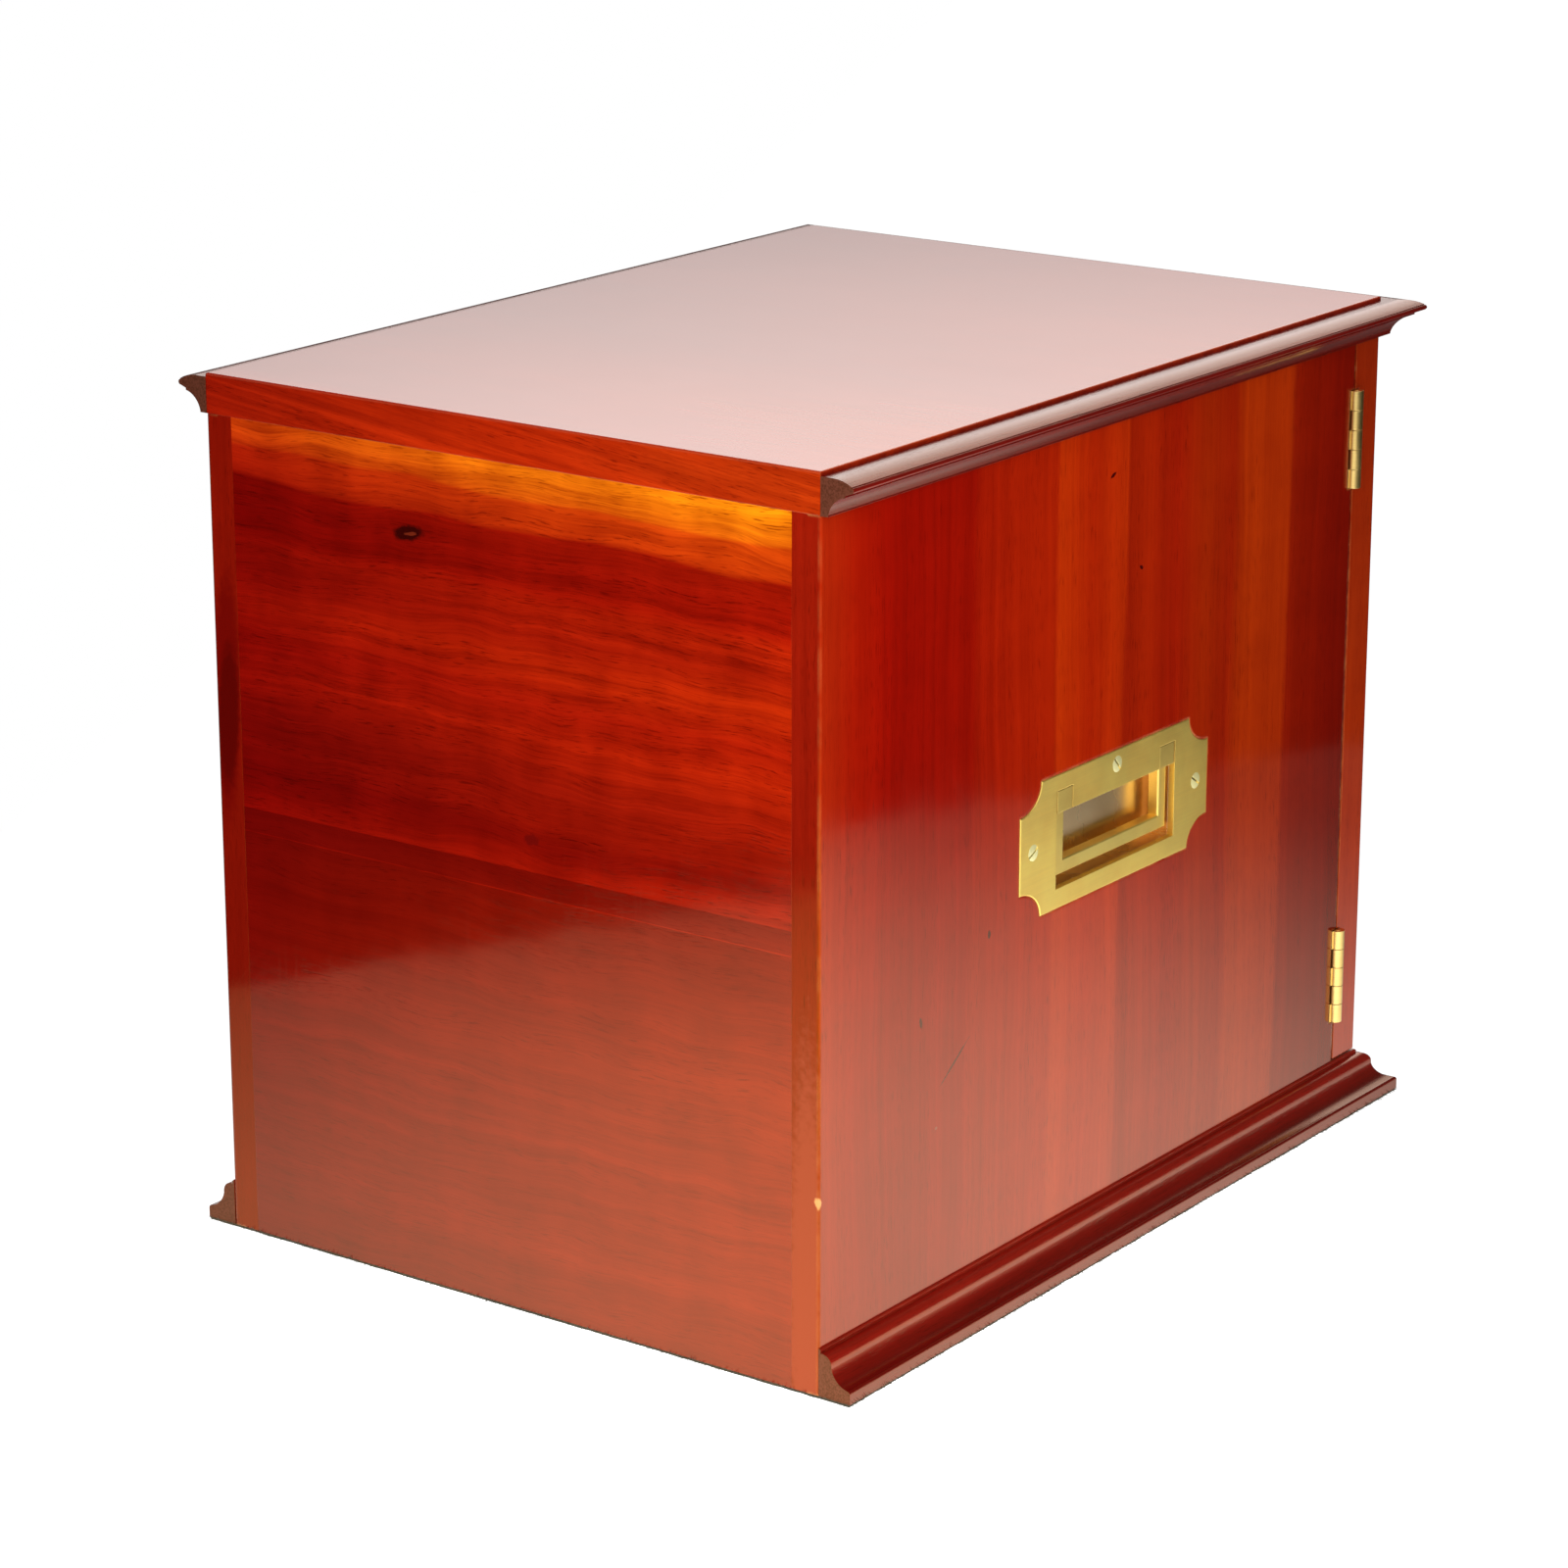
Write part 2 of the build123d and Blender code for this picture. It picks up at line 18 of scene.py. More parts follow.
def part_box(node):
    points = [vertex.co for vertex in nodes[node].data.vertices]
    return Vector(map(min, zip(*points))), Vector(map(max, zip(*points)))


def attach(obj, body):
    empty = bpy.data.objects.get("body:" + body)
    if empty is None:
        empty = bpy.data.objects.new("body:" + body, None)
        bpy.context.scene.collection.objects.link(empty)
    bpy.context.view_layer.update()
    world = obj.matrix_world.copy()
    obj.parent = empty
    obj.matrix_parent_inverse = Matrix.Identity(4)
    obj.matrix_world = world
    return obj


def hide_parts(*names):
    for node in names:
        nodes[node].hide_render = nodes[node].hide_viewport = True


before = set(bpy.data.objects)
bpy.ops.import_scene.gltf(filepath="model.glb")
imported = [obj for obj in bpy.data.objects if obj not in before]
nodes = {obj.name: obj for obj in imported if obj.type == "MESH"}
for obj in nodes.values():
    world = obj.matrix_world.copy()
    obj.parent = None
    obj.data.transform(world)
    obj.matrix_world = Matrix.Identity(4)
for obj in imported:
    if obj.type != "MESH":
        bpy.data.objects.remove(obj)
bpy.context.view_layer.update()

scene = bpy.context.scene


def new_object(name, data):
    made = bpy.data.objects.new(name, data)
    scene.collection.objects.link(made)
    return made


# %% [markdown]
# ## Where we stand
#
# The case is seen from behind its left side, a little above it: the plain back is on the left and the
# side with its handle on the right. A long lens from well over a metre away keeps the upright edges
# almost parallel. A camera can be aimed by a constraint to a target, but the turn is known here, so it
# is simply set.

# %% Camera
CAMERA_AT = (-0.99360, 1.39421, 0.66426)
CAMERA_TURN = (73.29, 0.0, -144.13)
LENS = 108.86

camera_data = bpy.data.cameras.new("camera")
camera_data.lens = LENS
camera_data.sensor_width = 36
camera = new_object("camera", camera_data)
camera.location = CAMERA_AT
camera.rotation_euler = [math.radians(v) for v in CAMERA_TURN]
scene.camera = camera
print("camera", round(camera.location.length, 2), "m from the middle of the foot")

# %% [markdown]
# ## Short words for shader nodes
#
# A material is a tree of small nodes. Making each one takes several lines in Python, so a few helpers
# come first: one adds a node, one feeds a socket from a number or from another node, and the others are
# the handful of nodes that every finish uses. Colours are written as the 0 to 255 values that a colour
# picker shows, and are turned into the linear values that light is worked out in.

# %% Helpers for node trees
def add(tree, kind, **plain):
    made = tree.nodes.new("ShaderNode" + kind)
    for name, value in plain.items():
        setattr(made, name, value)
    return made


def feed(tree, socket, value):
    if isinstance(value, bpy.types.NodeSocket):
        tree.links.new(value, socket)
    else:
        socket.default_value = value


def feed_all(tree, node, **values):
    """Feeds sockets by name; an underscore stands for a space."""
    for name, value in values.items():
        feed(tree, node.inputs[name.replace("_", " ")], value)
    return node


def math_node(tree, operation, *values, clamp=False):
    made = add(tree, "Math", operation=operation, use_clamp=clamp)
    for socket, value in zip(made.inputs, values):
        feed(tree, socket, value)
    return made.outputs[0]


def times(tree, *values, clamp=False):
    return math_node(tree, "MULTIPLY", *values, clamp=clamp)


def plus(tree, *values):
    return math_node(tree, "ADD", *values)


def vector_node(tree, operation, *values):
    made = add(tree, "VectorMath", operation=operation)
    for socket, value in zip(made.inputs, values):
        feed(tree, socket, value)
    return made.outputs["Value" if operation in ("LENGTH", "DOT_PRODUCT") else "Vector"]


def mix_colour(tree, how, amount, first, second):
    made = add(tree, "Mix", data_type="RGBA", blend_type=how)
    for number, value in ((0, amount), (6, first), (7, second)):
        feed(tree, made.inputs[number], value)
    return made.outputs[2]


def spread(tree, value, low, high, to_low=0.0, to_high=1.0, soft=False):
    made = add(tree, "MapRange", interpolation_type="SMOOTHSTEP" if soft else "LINEAR")
    for socket, number in zip(made.inputs, (value, low, high, to_low, to_high)):
        feed(tree, socket, number)
    return made.outputs[0]


def noise(tree, vector, scale, detail=2.0, rough=0.5):
    made = add(tree, "TexNoise")
    return feed_all(tree, made, Vector=vector, Scale=scale, Detail=detail, Roughness=rough).outputs["Fac"]


def stretched(tree, vector, scales, detail=2.0, rough=0.5):
    """Noise with its own scale along each axis."""
    return noise(tree, vector_node(tree, "MULTIPLY", vector, scales), 1.0, detail, rough)


def channel(value):
    value /= 255
    return value / 12.92 if value <= 0.04045 else ((value + 0.055) / 1.055) ** 2.4


def colour(red, green, blue):
    return (channel(red), channel(green), channel(blue), 1.0)


def ramp(tree, value, stops):
    """A colour ramp; stops are (place from 0 to 1, linear colour)."""
    made = add(tree, "ValToRGB")
    feed(tree, made.inputs[0], value)
    points = made.color_ramp.elements
    while len(points) < len(stops):
        points.new(1.0)
    for point, (place, shade) in zip(points, sorted(stops)):
        point.position = place
        point.color = shade
    return made.outputs[0]


def object_place(tree):
    return add(tree, "TexCoord").outputs["Object"]


def new_material(name):
    made = bpy.data.materials.new(name)
    made.use_nodes = True
    return made, made.node_tree, made.node_tree.nodes["Principled BSDF"]


print("mahogany red is", [round(v, 3) for v in colour(150, 20, 3)[:3]], "in linear light")

# %% [markdown]
# ## The studio
#
# Polish shows what is around it, so the room matters as much as the wood. The case stands on a bright
# white strip of paper that runs past it at a slant. Below the level of the table everything else is
# dark, which is why the upper half of each upright face looks deep and its lower half has a pale bloom.
# Two broad soft lights hang in a dim room: one stands behind the camera and lights the wood, and one is
# high behind the case, where the polished top mirrors it. A world shader can draw all of this from the
# direction alone, with no extra objects.

# %% World
WHITE = (1.0, 1.0, 1.0, 1.0)
DARK, SKY, FRONT_LIGHT = 0.012, 0.07, 1.15
TOWARDS_CAMERA = Vector((-0.58, 0.81, 0.0)).normalized()
PANEL = 3.9
PANEL_TOWARDS = Vector((0.45, -0.80, 0.46)).normalized()
PANEL_RIM = (0.86, 0.97)
PANEL_FOOT = (0.11, 0.25)
PANEL_SHARE = 0.61

world = bpy.data.worlds.new("studio")
scene.world = world
world.use_nodes = True
sky_tree = world.node_tree
sky_tree.nodes.clear()
towards = add(sky_tree, "TexCoord").outputs["Generated"]
height = add(sky_tree, "SeparateXYZ")
feed(sky_tree, height.inputs[0], towards)
from_front = vector_node(sky_tree, "DOT_PRODUCT", towards, tuple(TOWARDS_CAMERA))
front_light = spread(sky_tree, from_front, -0.25, 0.55, SKY, FRONT_LIGHT, soft=True)
horizon = spread(sky_tree, height.outputs[2], -0.03, 0.10, soft=True)
above = math_node(sky_tree, "MULTIPLY_ADD", horizon, front_light, DARK)
facing = vector_node(sky_tree, "DOT_PRODUCT", towards, tuple(PANEL_TOWARDS))
panel = spread(sky_tree, facing, *PANEL_RIM, 0.0, PANEL, soft=True)
panel_height = spread(sky_tree, height.outputs[2], *PANEL_FOOT, 0.0, PANEL_SHARE)
light = plus(sky_tree, above, times(sky_tree, panel, panel_height))
seen = add(sky_tree, "MixShader")
feed(sky_tree, seen.inputs[0], add(sky_tree, "LightPath").outputs["Is Camera Ray"])
for number, strength in ((1, light), (2, 1.0)):
    background = feed_all(sky_tree, add(sky_tree, "Background"), Color=WHITE, Strength=strength)
    feed(sky_tree, seen.inputs[number], background.outputs[0])
feed(sky_tree, add(sky_tree, "OutputWorld").inputs[0], seen.outputs[0])
scene.view_settings.view_transform = "Standard"
print("studio lights", FRONT_LIGHT, "and", PANEL, "in a room of", SKY)

# %% [markdown]
# The paper strip is a flat sheet, 1.06 m wide, turned a little from the case. A pool of light is painted
# on it: near the case's near corner the paper glows and its colour is whiter, and both fade away from
# there. To the camera the paper is plain white. A tall soft lamp stands by the near corner and lights it
# more than the far ones.

# %% Floor and lamp
ACROSS_STRIP = Vector((0.90, 0.43, 0.0)).normalized()
ALONG_STRIP = Vector((-0.43, 0.90, 0.0)).normalized()
STRIP_LOW, STRIP_HIGH = -0.61, 0.45
STRIP_HALF_LENGTH = 4.0
# The paper's painted pool of light: its glow and its whiter colour fade with distance from this point.
GLOW_AT = (-0.30, 0.27, 0.0)
GLOW_REACH = (0.20, 0.81)
GLOW_NEAR, GLOW_FAR, GLOW_SEEN = 1.9, 0.09, 0.98
PAINTED_POOL_REACH = (0.30, 0.85)
PAINTED_POOL_NEAR, PAINTED_POOL_FAR = 0.28, 0.03

floor_mesh = bpy.data.meshes.new("floor")
corners = [
    ACROSS_STRIP * across + ALONG_STRIP * along
    for across, along in (
        (STRIP_LOW, -STRIP_HALF_LENGTH),
        (STRIP_HIGH, -STRIP_HALF_LENGTH),
        (STRIP_HIGH, STRIP_HALF_LENGTH),
        (STRIP_LOW, STRIP_HALF_LENGTH),
    )
]
floor_mesh.from_pydata([tuple(c) for c in corners], [], [(0, 1, 2, 3)])
floor = new_object("floor", floor_mesh)

paper, tree, surface = new_material("paper")
# A painted pool of light: the paper glows and is whiter near the case, fading away from it.
from_glow = vector_node(tree, "LENGTH", vector_node(tree, "SUBTRACT", object_place(tree), GLOW_AT))
glow = spread(tree, from_glow, *GLOW_REACH, GLOW_NEAR, GLOW_FAR, soft=True)
seen_glow = times(tree, add(tree, "LightPath").outputs["Is Camera Ray"], GLOW_SEEN)
glow = math_node(tree, "MAXIMUM", glow, seen_glow)
painted_pool_white = spread(tree, from_glow, *PAINTED_POOL_REACH, PAINTED_POOL_NEAR, PAINTED_POOL_FAR, soft=True)
white = add(tree, "CombineColor")
for socket in white.inputs:
    feed(tree, socket, painted_pool_white)
feed_all(tree, surface, Base_Color=white.outputs[0], Roughness=0.9, Specular_IOR_Level=0.1,
         Emission_Color=WHITE, Emission_Strength=glow)
floor_mesh.materials.append(paper)

LAMP_AT = Vector((-0.50, 0.66, 0.36))
LAMP_AIM = Vector((-0.13, 0.18, 0.14))
lamp_data = bpy.data.lights.new("soft_lamp", "AREA")
lamp_data.shape = "RECTANGLE"
lamp_data.size = 0.25
lamp_data.size_y = 0.7
lamp_data.energy = 3.0
lamp = new_object("soft_lamp", lamp_data)
lamp.location = LAMP_AT
lamp.rotation_euler = (LAMP_AIM - LAMP_AT).to_track_quat("-Z", "Y").to_euler()
lamp.visible_camera = False
lamp.visible_glossy = False
print("paper strip", round(STRIP_HIGH - STRIP_LOW, 2), "m wide, lamp", round(LAMP_AT.length, 2), "m away")

# %% [markdown]
# ## What the finishes share
#
# Three effects turn up in nearly every material, so each is a node group, made once and placed with its
# own values. The first is the arris, the sharp edge where two faces meet. A maker always takes it off
# with a pass of fine paper, and years of handling round it more. The Bevel node looks at the faces round
# a point and gives the rounded normal that such an edge would have, and how far that normal leans away
# from the flat one is a good mask for wear.

# %% Group: rounded and worn edges
def new_group(name, inputs, outputs):
    """A node group with its sockets; inputs are (name, kind, value)."""
    tree = bpy.data.node_groups.new(name, "ShaderNodeTree")
    for label, kind, value in inputs:
        socket = tree.interface.new_socket(label, in_out="INPUT", socket_type="NodeSocket" + kind)
        if value is not None:
            socket.default_value = value
    for label, kind in outputs:
        tree.interface.new_socket(label, in_out="OUTPUT", socket_type="NodeSocket" + kind)
    start = tree.nodes.new("NodeGroupInput")
    end = tree.nodes.new("NodeGroupOutput")
    return tree, start.outputs, end.inputs


def place_group(tree, group, **values):
    return feed_all(tree, add(tree, "Group", node_tree=group), **values).outputs


edges, given, result = new_group(
    "Edges",
    [("Radius", "Float", 0.001), ("Wear", "Float", 0.5), ("Break up", "Float", 90.0)],
    [("Normal", "Vector"), ("Worn", "Float")],
)
rounded = add(edges, "Bevel", samples=4)
feed(edges, rounded.inputs["Radius"], given["Radius"])
flat = add(edges, "NewGeometry").outputs["Normal"]
lean = math_node(edges, "SUBTRACT", 1.0, vector_node(edges, "DOT_PRODUCT", rounded.outputs[0], flat))
edge_mask = spread(edges, lean, 0.02, 0.20)
patchy = spread(edges, noise(edges, object_place(edges), given["Break up"], 3.0), 0.38, 0.62)
feed(edges, result["Normal"], rounded.outputs[0])
worn = times(edges, edge_mask, patchy)
feed(edges, result["Worn"], times(edges, worn, given["Wear"], clamp=True))
print("group", edges.name, "with", len(edges.nodes), "nodes")

# %% [markdown]
# The second is the grain of the mahogany. Its fibres run along the board, so every pattern is stretched
# along them: broad streaks a few millimetres wide, fine lines under a millimetre, and the pores, short
# dark dashes where the cut fibres were open and took up more stain. Across all of it lies the figure, a
# soft mottle a few centimetres wide where the fibres dip in and out of the surface. The group is given a
# place with its X across the grain and its Y along it, and Wave says how far the grain snakes, in metres.

# %% Group: mahogany grain
grain, given, result = new_group(
    "Mahogany grain",
    [
        ("Place", "Vector", None),
        ("Streaks", "Float", 0.25),
        ("Lines", "Float", 0.15),
        ("Pores", "Float", 0.5),
        ("Figure", "Float", 0.15),
        ("Wave", "Float", 0.0008),
    ],
    [("Shade", "Float"), ("Pore mask", "Float"), ("Height", "Float")],
)
sway = stretched(grain, given["Place"], (6.0, 4.0, 6.0))
shift = add(grain, "CombineXYZ")
wave = stretched(grain, given["Place"], (45.0, 26.0, 45.0), 1.0)
wave = times(grain, spread(grain, wave, 0.2, 0.8, -1.0, 1.0), given["Wave"])
slow = spread(grain, sway, 0.2, 0.8, -0.005, 0.005)
feed(grain, shift.inputs[0], plus(grain, slow, wave))
bent = vector_node(grain, "ADD", given["Place"], shift.outputs[0])
streak = stretched(grain, bent, (230.0, 3.5, 230.0), 3.0, 0.6)
line = stretched(grain, bent, (1500.0, 22.0, 1500.0), 2.0, 0.6)
dash = stretched(grain, bent, (2600.0, 150.0, 2600.0), 1.0)
clump = stretched(grain, bent, (140.0, 8.0, 140.0))
mottle = stretched(grain, given["Place"], (40.0, 55.0, 40.0))
pores = times(grain, spread(grain, dash, 0.58, 0.70), spread(grain, clump, 0.35, 0.65, 0.25, 1.0))


def swing(value, amount):
    """value varies about 0.5; the result varies about 0 by amount."""
    return times(grain, math_node(grain, "SUBTRACT", value, 0.5), amount)


total = 1.0
for pattern, name, gain in ((streak, "Streaks", 4.0), (line, "Lines", 3.0), (mottle, "Figure", 4.0)):
    part = swing(pattern, times(grain, given[name], gain))
    total = plus(grain, total, part)
DARKEST_SHADE = 0.15
feed(grain, result["Shade"], math_node(grain, "MAXIMUM", total, DARKEST_SHADE))
feed(grain, result["Pore mask"], times(grain, pores, given["Pores"], clamp=True))
relief = math_node(grain, "SUBTRACT", times(grain, line, 0.25), pores)
feed(grain, result["Height"], relief)
print("group", grain.name, "with", len(grain.nodes), "nodes")

# %% [markdown]
# The third is what happens to a polished surface in use: it isn't quite flat, so reflections waver, it
# is a little duller in patches where hands and dusters have been, and it collects a few fine scratches.

# %% Group: handled surface
handled, given, result = new_group(
    "Handled surface",
    [("Gloss", "Float", 0.1), ("Patches", "Float", 0.05), ("Scratches", "Float", 0.05),
     ("Size", "Float", 1.0)],
    [("Roughness", "Float"), ("Height", "Float")],
)
where = vector_node(handled, "SCALE", object_place(handled))
feed(handled, where.node.inputs["Scale"], given["Size"])
patches = spread(handled, noise(handled, where, 14.0, 3.0), 0.4, 0.7)
scratch_lines = []
for turn in ((0.5, 0.2, 0.9), (1.9, 1.1, 0.3)):
    spin = add(handled, "VectorRotate", rotation_type="EULER_XYZ")
    feed(handled, spin.inputs["Vector"], where)
    spin.inputs["Rotation"].default_value = turn
    thin = stretched(handled, spin.outputs[0], (1800.0, 24.0, 24.0), 0.0)
    scratch_lines.append(spread(handled, thin, 0.72, 0.78))
scratch = math_node(handled, "MAXIMUM", *scratch_lines)
dull = times(handled, patches, given["Patches"])
scored = times(handled, scratch, given["Scratches"])
uneven = plus(handled, dull, scored)
feed(handled, result["Roughness"], plus(handled, given["Gloss"], uneven))
SCRATCH_DEPTH = 0.006
depth = times(handled, scratch, SCRATCH_DEPTH)
ripple = noise(handled, where, 34.0, 1.0)
feed(handled, result["Height"], math_node(handled, "SUBTRACT", ripple, depth))
print("group", handled.name, "with", len(handled.nodes), "nodes")

# %% [markdown]
# One more small group draws a single mark: a knot, a chip or a stain. It is an ellipse of its own size
# and turn at one place on the surface, with a ragged rim.

# %% Group: one mark
mark, given, result = new_group(
    "Mark",
    [("Place", "Vector", None), ("Centre", "Vector", None), ("Size", "Vector", (0.001, 0.001, 0.001)),
     ("Axis", "Vector", (1.0, 0.0, 0.0)), ("Turn", "Float", 0.0), ("Ragged", "Float", 0.5)],
    [("Mask", "Float")],
)
spin = add(mark, "VectorRotate", rotation_type="AXIS_ANGLE")
from_centre = vector_node(mark, "SUBTRACT", given["Place"], given["Centre"])
feed_all(mark, spin, Vector=from_centre, Axis=given["Axis"], Angle=given["Turn"])
reach = vector_node(mark, "LENGTH", vector_node(mark, "DIVIDE", spin.outputs[0], given["Size"]))
rim = math_node(mark, "SUBTRACT", noise(mark, given["Place"], 420.0, 2.0), 0.5)
reach = plus(mark, reach, times(mark, rim, given["Ragged"]))
feed(mark, result["Mask"], spread(mark, reach, 1.0, 0.6, soft=True))
print("group", mark.name, "with", len(mark.nodes), "nodes")

# %% [markdown]
# ## Polished mahogany
#
# Each board is a different piece of timber, but the finish is one recipe: shellac rubbed on in many thin
# coats until it fills the grain. The recipe sets out the board's colour bands across its grain, lays the
# grain over them, darkens the pores, lightens the worn edges, and shines like a film of shellac with the
# rounded edges and the faint ripple under it. The amber of the shellac tints its head-on reflections,
# which the Principled shader has a plain socket for. First comes a place on the board: how far a point
# is across the grain and along it, for a board that runs in any of five directions.

# %% Places on a board
ORDER = {
    "up the side": "yzx",
    "along the side": "zyx",
    "up the front": "xzy",
    "along the front": "zxy",
    "across the top": "yxz",
}


def place_across(tree, order, slant=0.0, wander=0.0, dive=0.0):
    """The place on the board as (across the grain, along it, through it), and the distance across for
    the bands, which slants and wanders as the board's growth rings do. Grain that dives runs out
    through the board's edge."""
    apart = add(tree, "SeparateXYZ")
    feed(tree, apart.inputs[0], object_place(tree))
    across, along, through = (apart.outputs["xyz".index(letter)] for letter in ORDER[order])
    turned = add(tree, "CombineXYZ")
    dived = math_node(tree, "MULTIPLY_ADD", along, dive, through)
    for socket, value in zip(turned.inputs, (across, along, dived)):
        feed(tree, socket, value)
    sloped = plus(tree, across, times(tree, along, slant))
    drift = stretched(tree, turned.outputs[0], (14.0, 7.0, 14.0), 3.0, 0.55)
    drift = times(tree, math_node(tree, "SUBTRACT", drift, 0.5), wander)
    return turned.outputs[0], plus(tree, sloped, drift), apart.outputs


print("grain can run", ", ".join(ORDER))

# %% [markdown]
# What differs from board to board is the direction of the grain, the bands and a few marks, so those are
# the arguments of the recipe. The rest have values that suit most boards. The film is the colour of the
# shellac, gloss is its roughness, and ripple and relief are the heights of its waves and of the grain
# under it, in metres.

# %% The polish recipe
SHELLAC = (1.0, 0.50, 0.20, 1.0)
THICK_SHELLAC = (1.0, 0.39, 0.02, 1.0)
BARE_WOOD = colour(226, 150, 84)
PORE_STAIN = (0.42, 0.25, 0.2, 1.0)
STRIP_EDGE = 0.0003
OUTER_FACE = (0.1275, 0.1280)
INNER_RADIUS = 0.0002


def bumped(tree, height, distance, normal):
    made = add(tree, "Bump")
    return feed_all(tree, made, Strength=1.0, Distance=distance, Height=height, Normal=normal).outputs[0]


def polished(name, order, bands, slant=0.0, wander=0.004, dive=0.0, wave=0.0008, streaks=0.10, lines=0.07,
             pores=0.5, figure=0.06, calm=None, radius=0.0003, wear=0.25, outer_edges=False, film=SHELLAC,
             gloss=0.07, ripple=0.00010, relief=0.000004, scratches=0.04, painted_light=None, strips=(),
             marks=()):
    """bands are (place across in mm, (red, green, blue)); calm is (low, high, share at low, share at
    high), how much of the grain shows as Z goes from low to high; painted_light is (letter, low, high, low
    tint, high tint), a painted gradient of light and shade along X, Y or Z; strips are (letter, low, high,
    tint), straight across the board; marks are (centre, size, axis, turn, colour, ragged). Places and sizes
    are in mm. outer_edges wears only the edges on the outside of the case."""
    made, tree, surface = new_material(name)
    place, distance, xyz = place_across(tree, order, slant, wander, dive)
    first, last = min(b[0] for b in bands), max(b[0] for b in bands)
    along_bands = spread(tree, distance, first / 1000, last / 1000)
    if calm:
        low, high, low_share, high_share = calm
        share = spread(tree, xyz[2], low / 1000, high / 1000, low_share, high_share)
        streaks, lines, pores, figure = (times(tree, share, v) for v in (streaks, lines, pores, figure))
    base = ramp(tree, along_bands, [((at - first) / (last - first), colour(*rgb)) for at, rgb in bands])
    wood = place_group(tree, grain, Place=place, Streaks=streaks, Lines=lines, Pores=pores, Figure=figure,
                       Wave=wave)
    shade = add(tree, "CombineColor")
    for socket, power in zip(shade.inputs, (1.0, 1.6, 1.6)):
        feed(tree, socket, math_node(tree, "POWER", wood["Shade"], power))
    base = mix_colour(tree, "MULTIPLY", 1.0, base, shade.outputs[0])
    # Painted light and shade: the colour is tinted lighter or darker along one axis.
    if painted_light:
        letter, low, high, tint_low, tint_high = painted_light
        along_light = spread(tree, xyz["xyz".index(letter)], low / 1000, high / 1000)
        tint = mix_colour(tree, "MIX", along_light, (*tint_low, 1.0), (*tint_high, 1.0))
        base = mix_colour(tree, "MULTIPLY", 1.0, base, tint)
    for letter, low, high, tint in strips:
        side = xyz["xyz".index(letter)]
        inside = times(tree, spread(tree, side, low / 1000, low / 1000 + STRIP_EDGE),
                       spread(tree, side, high / 1000, high / 1000 - STRIP_EDGE))
        base = mix_colour(tree, "MULTIPLY", inside, base, (*tint, 1.0))
    base = mix_colour(tree, "MULTIPLY", wood["Pore mask"], base, PORE_STAIN)
    for centre, size, axis, turn, shade_of_mark, ragged in marks:
        spot = place_group(
            tree, mark, Place=object_place(tree), Centre=[v / 1000 for v in centre],
            Size=[v / 1000 for v in size], Axis=axis, Turn=math.radians(turn), Ragged=ragged,
        )
        base = mix_colour(tree, "MIX", spot["Mask"], base, colour(*shade_of_mark))
    if outer_edges:
        outer = spread(tree, math_node(tree, "ABSOLUTE", xyz[0]), *OUTER_FACE)
        radius = math_node(tree, "MULTIPLY_ADD", outer, radius - INNER_RADIUS, INNER_RADIUS)
        wear = times(tree, outer, wear)
    edge = place_group(tree, edges, Radius=radius, Wear=wear)
    base = mix_colour(tree, "MIX", edge["Worn"], base, BARE_WOOD)
    skin = place_group(tree, handled, Gloss=gloss, Patches=0.03, Scratches=scratches, Size=1.0)
    normal = bumped(tree, wood["Height"], relief, edge["Normal"])
    normal = bumped(tree, skin["Height"], ripple, normal)
    rough = plus(tree, skin["Roughness"], times(tree, edge["Worn"], 0.25))
    feed_all(tree, surface, Base_Color=base, Roughness=rough, Normal=normal, Specular_IOR_Level=0.9,
             Specular_Tint=film)
    print(name, "has", len(bands), "bands over", round(last - first), "mm and", len(marks), "marks")
    return made


def finish_nodes(material, *names):
    for name in names:
        for slot in nodes[name].material_slots:
            slot.material = material


# %% [markdown]
# The left side is one wide board with its grain upright. Its colour changes in bands, from wine red to
# orange, with three crisp steps where one growth ring gives way to the next, and the bands also carry a
# painted brightening towards its back edge. It has a few small dark flecks and a short scratch, and its
# corner at the back is pale, partly rubbed wood and partly a painted highlight along the arris, with one
# chip out of it; a painted pale reflection lies over the lower part of that back edge. The radius of the
# worn edge is larger there, so it is worked out from the place. Both sides are painted darker towards the
# foot and lighter towards the top.

# %% The sides
# Besides the wood's own bands, these stops carry a painted brightening towards the back edge (y = 185), the
# near corner in this view.
SIDE_BANDS = [
    (-166, (116, 12, 2)), (-150, (124, 14, 2)), (-128, (134, 20, 2)), (-118, (142, 25, 3)),
    (-115, (166, 44, 4)), (-82, (170, 47, 4)), (-74, (150, 28, 3)), (-56, (155, 35, 3)),
    (-36, (150, 23, 3)), (-16, (156, 30, 3)), (-2, (147, 26, 3)), (0, (174, 42, 4)), (22, (168, 33, 3)),
    (42, (180, 46, 4)), (45, (163, 30, 3)), (75, (156, 26, 3)), (94, (152, 22, 3)), (98, (143, 13, 2)),
    (132, (139, 10, 2)), (150, (143, 11, 2)), (168, (154, 20, 3)), (185, (162, 34, 7)),
]
FLECK = (70, 4, 4)
